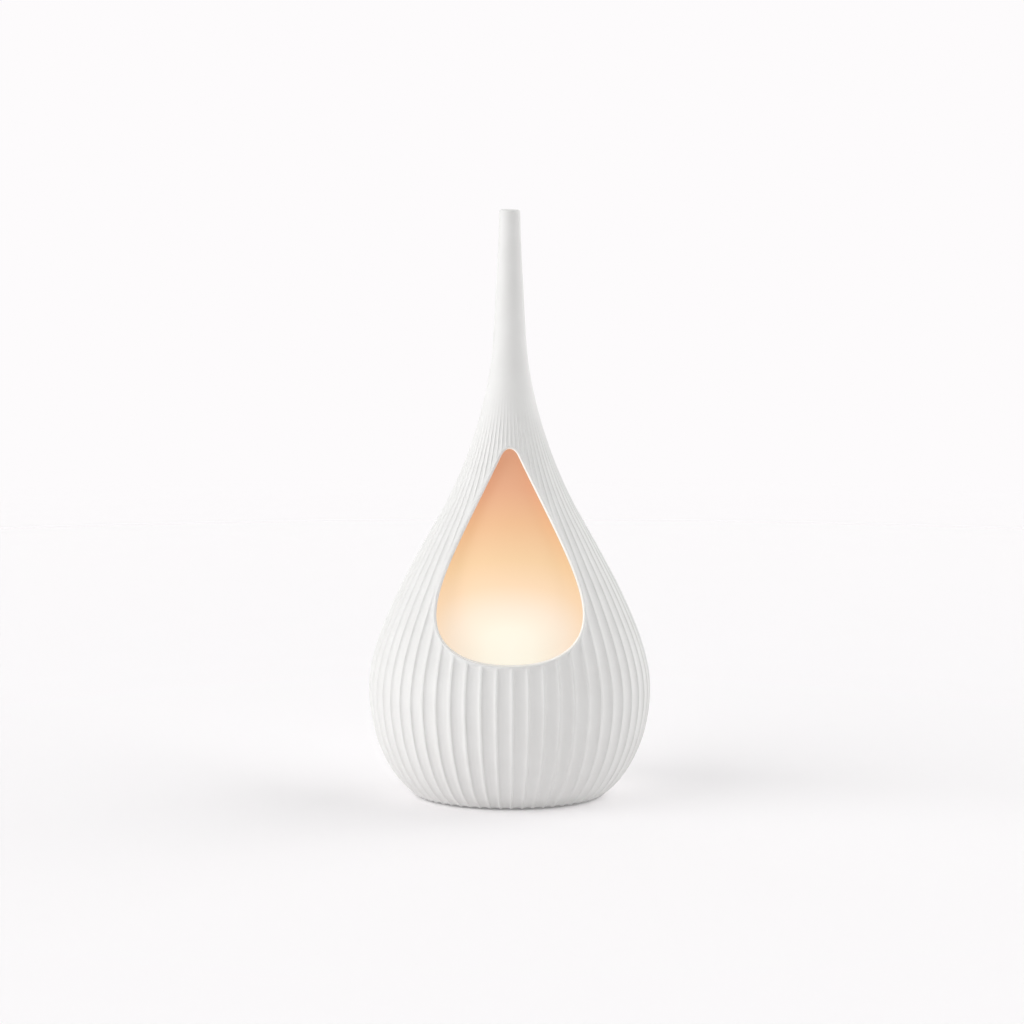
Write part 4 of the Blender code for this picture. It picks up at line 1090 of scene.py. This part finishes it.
def feet():
    corners = ((0.5, 1.8, 0), (5.5, 1.8, 0.3), (5.5, 0.0, 0.7), (4.2, 0.0, 0.2), (3.9, 0.3, 0.2))
    corners += ((0.5, 0.3, 0),)
    for number, at in enumerate(around(*FOOT_AT), 1):
        foot = turned(f"rubber_foot_{number}", corners, 64, at)
        show(foot, "base", [f"foot_{number}"], "grey_rubber")


def screw(node, at, head_r, shank_r, head_end, seat, tip):
    """A pan-head screw on a vertical axis, from the end of its head to its tip."""
    way = 1 if tip > head_end else -1
    corners = ((0.3, head_end, 0), (head_r, head_end, 0.7), (head_r, seat, 0.1), (shank_r, seat, 0.1))
    corners += ((shank_r, tip - way, 0), (0.3, tip, 0))
    body = turned(f"{node}_body", corners, 40, at)
    arms = []
    for long, wide, deep in ((head_r * 0.6, 0.3, 0.7), (0.3, head_r * 0.6, 0.74)):
        ends = sorted((head_end - way - deep, head_end + deep * way))
        near_corner = (at[0] - long, at[1] - wide, ends[0])
        far_corner = (at[0] + long, at[1] + wide, ends[1])
        arms.append(rounded_box("arm", near_corner, far_corner, 0.1))
    cut(body, union(*arms))
    show(body, "base", [node], "screw_steel")


def screws():
    for number, at in enumerate(around(*SCREW_AT), 1):
        screw(f"cover_screw_{number}", at, *COVER_SCREW)
    for number, x in enumerate((-LUG_X, LUG_X), 1):
        screw(f"bracket_screw_{number}", (x, 0.0), *BRACKET_SCREW)
    for number, at in enumerate(BOARD_SCREWED, 1):
        screw(f"board_screw_{number}", at, *BOARD_SCREW)


# -------------------- base unit: tank, mist and light

TANK_R = 56.0
TANK_FLOOR = (38.0, 40.5)
DUCT_X = -38.0
FLOAT_X = 36.0
LUG_X = 16.4
# Level marks: height and length in degrees, from the degree where they all start.
LEVEL_MARKS = ((46.0, 4.0), (53.0, 4.0), (60.0, 4.0), (67.0, 8.0))
MARK_START = -80.0
LAMP_COUNT = 6
LAMP_RING_R = 25.1
LENS_R = 2.3


def level_mark(height, degrees):
    """A thin raised line on the tank's wall."""
    turns = np.radians(np.linspace(MARK_START, MARK_START + degrees, 12))
    section = ((-0.4, -0.3), (0.15, -0.25), (0.15, 0.25), (-0.4, 0.3))
    rings = []
    for a in turns:
        rings.append([(*polar(TANK_R + out, a), height + up) for out, up in section])
    return capped_solid("level_mark", rings)


def water_tank():
    """The tank with its skirt, its posts and lugs below, and the snorkel and float post inside."""
    low, high = TANK_FLOOR
    corners = [(4.0, high, 0), (53.2, high, 1.8), (53.2, 71.0, 1.0), (51.0, 74.0, 1.0), (51.0, 80.0, 0.8)]
    corners += [(53.4, 80.0, 0.8), (53.4, 74.0, 0.3), (TANK_R, 74.0, 0.7), (TANK_R, 36.3, 0.6)]
    corners += [(53.6, 36.3, 0.3), (53.6, 30.0, 0.5), (51.2, 30.0, 0.5), (51.2, low, 0.4), (4.0, low, 0)]
    tank = turned("clear_tank", corners, 160)
    posts = [post("screw_post", 3.6, 7.8, low + 1, at) for at in around(*SCREW_AT)]
    posts += [post("lug", 3.0, 34.2, low + 1.2, (x, 0.0), columns=44) for x in (-LUG_X, LUG_X)]
    posts += [post("snorkel", 9.8, low + 0.5, 78.0, (DUCT_X, 0.0), 0.6, 64)]
    posts += [post("float_post", 2.0, low + 1, 70.0, (FLOAT_X, 0.0), 0.6)]
    union(tank, *posts, *[level_mark(*mark) for mark in LEVEL_MARKS])
    holes = [post("disc_hole", 8.0, low - 1, high + 1, columns=64)]
    holes += [post("snorkel_bore", 8.3, low - 1, 79.0, (DUCT_X, 0.0), columns=64)]
    holes += [post("pilot", 1.65, 6.8, 17.0, at) for at in around(*SCREW_AT)]
    holes += [post("lug_pilot", 1.5, 33.2, 37.5, (x, 0.0)) for x in (-LUG_X, LUG_X)]
    cut(tank, *holes)
    show(tank, "base", ["water_tank"], "tank_plastic")


def air_duct():
    """A capped tube with two cross slots under its cap, and a flange at its foot."""
    corners = ((0.5, 88.0, 0), (8.0, 88.0, 1.4), (8.0, 28.0, 0.4), (9.5, 28.0, 0.4), (9.5, 26.3, 0.3))
    corners += ((6.5, 26.3, 0.3), (6.5, 86.4, 0.6), (0.5, 86.4, 0))
    duct = turned("mist_air_duct", corners, 64, (DUCT_X, 0.0))
    for turn in (0, math.pi / 2):
        slot = along_y(rounded_box("slot", (-3.0, -84.5, -10.0), (3.0, -79.5, 10.0), 1.0))
        cut(duct, swing(slot, turn, DUCT_X))
    show(duct, "base", ["air_duct"], "housing_plastic")


def water_float():
    at = (FLOAT_X, 0.0)
    corners = ((8.0, 54.0, 1.2), (8.0, 42.0, 1.2), (5.75, 42.0, 0.2), (5.75, 45.3, 0.1), (3.05, 45.3, 0.1))
    corners += ((3.05, 42.0, 0.2), (2.6, 42.0, 0.15), (2.6, 54.0, 0.4))
    show(turned_ring("round_float", corners, 64, at), "water_float", ["water_float"], "float_foam")
    corners = ((5.4, 45.0, 0.2), (5.4, 42.3, 0.2), (3.4, 42.3, 0.2), (3.4, 45.0, 0.2))
    show(turned_ring("ring_magnet", corners, 48, at), "water_float", ["float_magnet"], "ferrite")
    corners = ((0.5, 72.0, 0), (4.0, 72.0, 1.0), (4.0, 65.0, 0.3), (2.3, 65.0, 0.2))
    corners += ((2.3, 70.3, 0.2), (0.5, 70.3, 0))
    show(turned("float_stop", corners, 48, at), "base", ["float_cap"], "housing_plastic")


def transducer():
    corners = ((0.5, 36.3, 0), (3.5, 36.3, 0.05), (3.8, 36.4, 0.05), (10.0, 36.4, 0.15), (10.0, 35.6, 0.15))
    corners += ((0.5, 35.6, 0),)
    show(turned("piezo_disc", corners, 96), "base", ["transducer_disc"], "transducer_brass")
    corners = ((12.5, 37.7, 0.5), (12.5, 34.2, 0.5), (7.5, 34.2, 0.4), (7.5, 35.3, 0.2), (10.3, 35.3, 0.1))
    corners += ((10.3, 36.7, 0.1), (7.5, 36.7, 0.2), (7.5, 37.7, 0.4))
    show(turned_ring("disc_seal", corners, 96), "base", ["transducer_seal"], "white_silicone")
    corners = ((2.0, 33.9, 0), (13.0, 33.9, 0.3), (13.0, 32.7, 0.3), (2.0, 32.7, 0))
    bracket = turned("disc_bracket", corners, 96)
    union(bracket, rounded_box("bar", (-19.5, -5.0, 32.71), (19.5, 5.0, 33.89), 2.0))
    holes = [post("middle", 6.0, 31.0, 35.0, edge=0.0, columns=64)]
    holes += [post("lug_hole", 1.5, 31.0, 35.0, (x, 0.0), 0.0) for x in (-LUG_X, LUG_X)]
    cut(bracket, *holes)
    show(bracket, "base", ["transducer_bracket"], "bracket_aluminium")


def lamp_ring():
    """The lamps under the tank's floor: domed lenses on their board."""
    dome = [(r, 35.0 + up, 0) for r, up in (polar(LENS_R, a) for a in np.linspace(1.45, 0.0, 8))]
    for number in range(LAMP_COUNT):
        at = polar(LAMP_RING_R, math.radians(30 + 360 / LAMP_COUNT * number))
        lens = turned(f"lamp_lens_{number + 1}", (*dome, (LENS_R, 34.9, 0), (0.5, 34.9, 0)), 40, at)
        show(lens, "base", [f"led_{number + 1}"], "lamp_lens")
    corners = ((29.4, 34.6, 0.1), (29.4, 33.0, 0.1), (20.8, 33.0, 0.1), (20.8, 34.6, 0.1))
    show(turned_ring("lamp_board", corners), "base", ["led_board"], "circuit_board")


def seals():
    """The seal between tank and hood, and the one between the hood's chimney and the shell's neck."""
    corners = ((55.8, 75.8, 0.6), (55.8, 74.3, 0.3), (53.7, 74.3, 0.3), (53.7, 75.8, 0.6))
    show(turned_ring("rim_seal", corners, 160), "base", ["hood_seal"], "white_silicone")
    low, high = 250.0, 256.0
    top = float(inner_radius(high)) - 0.5
    foot = float(inner_radius(low)) - 1.1
    corners = ((top, high, 0.8), (foot, low, 0.8), (7.8, low, 0.4), (7.8, high, 0.4))
    show(turned_ring("chimney_seal", corners, 96), "hood", ["neck_seal"], "white_silicone")


# -------------------- base unit: fan

BLADES = 7
BLADE_Z = 9.4
# Radius, pitch in degrees and chord, at a blade's root and at its tip.
BLADE_ROOT = (7.6, 50.0, 6.2)
BLADE_TIP = (18.0, 32.0, 7.4)


def fan_blade(turn):
    """One twisted blade with a cambered, round-edged section."""
    rings = []
    for radius, degrees, chord in np.linspace(BLADE_ROOT, BLADE_TIP, 9):
        pitch = math.radians(degrees)
        ring = []
        for a in np.linspace(0.0, 2 * math.pi, 24, endpoint=False):
            along = chord / 2 * math.cos(a)
            off = 0.45 * math.sin(a) + 0.5 * math.sin(a / 2) ** 2 * math.cos(a / 2) ** 2 * 4
            across = off * math.cos(pitch) - along * math.sin(pitch)
            ring.append((radius, across, BLADE_Z + along * math.cos(pitch) + off * math.sin(pitch)))
        rings.append(ring)
    return swing(capped_solid("blade", rings), turn, FAN_X)


def fan_rotor():
    at = (FAN_X, 0.0)
    corners = ((0.5, 12.8, 0), (8.6, 12.8, 1.2), (8.6, 5.4, 0.4), (1.5, 5.4, 0.1))
    corners += ((1.5, 11.5, 0.1), (0.5, 11.5, 0))
    rotor = turned("fan_impeller", corners, 64, at)
    for blade in range(BLADES):
        union(rotor, fan_blade(2 * math.pi * blade / BLADES))
    show(rotor, "fan_rotor", ["fan_rotor"], "dark_plastic")


# -------------------- CAD nodes that still show

BEVELLED = ("fan_frame", "fan_plenum", "driver_board", "driver_chip", "heat_sink", "control_board")
BEVELLED += ("tact_switch_1", "tact_switch_2", "reed_sensor")


def dress_cad_nodes():
    """Gives every CAD node the finish of its material slot, and soft edges to the boxy ones."""
    for part in frame["record"]["subparts"]:
        node = NODES[part["node"]]
        node.data.materials.clear()
        node.data.materials.append(LOOKS[part["material_slot"]])
    for name in BEVELLED:
        weld = NODES[name].modifiers.new("weld", "WELD")
        weld.merge_threshold = 0.01 * MM
        edges = NODES[name].modifiers.new("edges", "BEVEL")
        edges.width = 0.25 * MM
        edges.segments = 2
        edges.limit_method = "ANGLE"
        edges.angle_limit = math.radians(50)


bpy.context.scene.view_settings.view_transform = "Standard"
camera()
world()
lamps()
floor()
dress_cad_nodes()
outer_shell()
mist_hood()
base_housing()
button("power_button", -BUTTON_X, power_mark)
button("light_button", BUTTON_X, light_mark)
dc_jack()
bottom_cover()
feet()
screws()
water_tank()
air_duct()
water_float()
transducer()
lamp_ring()
seals()
fan_rotor()
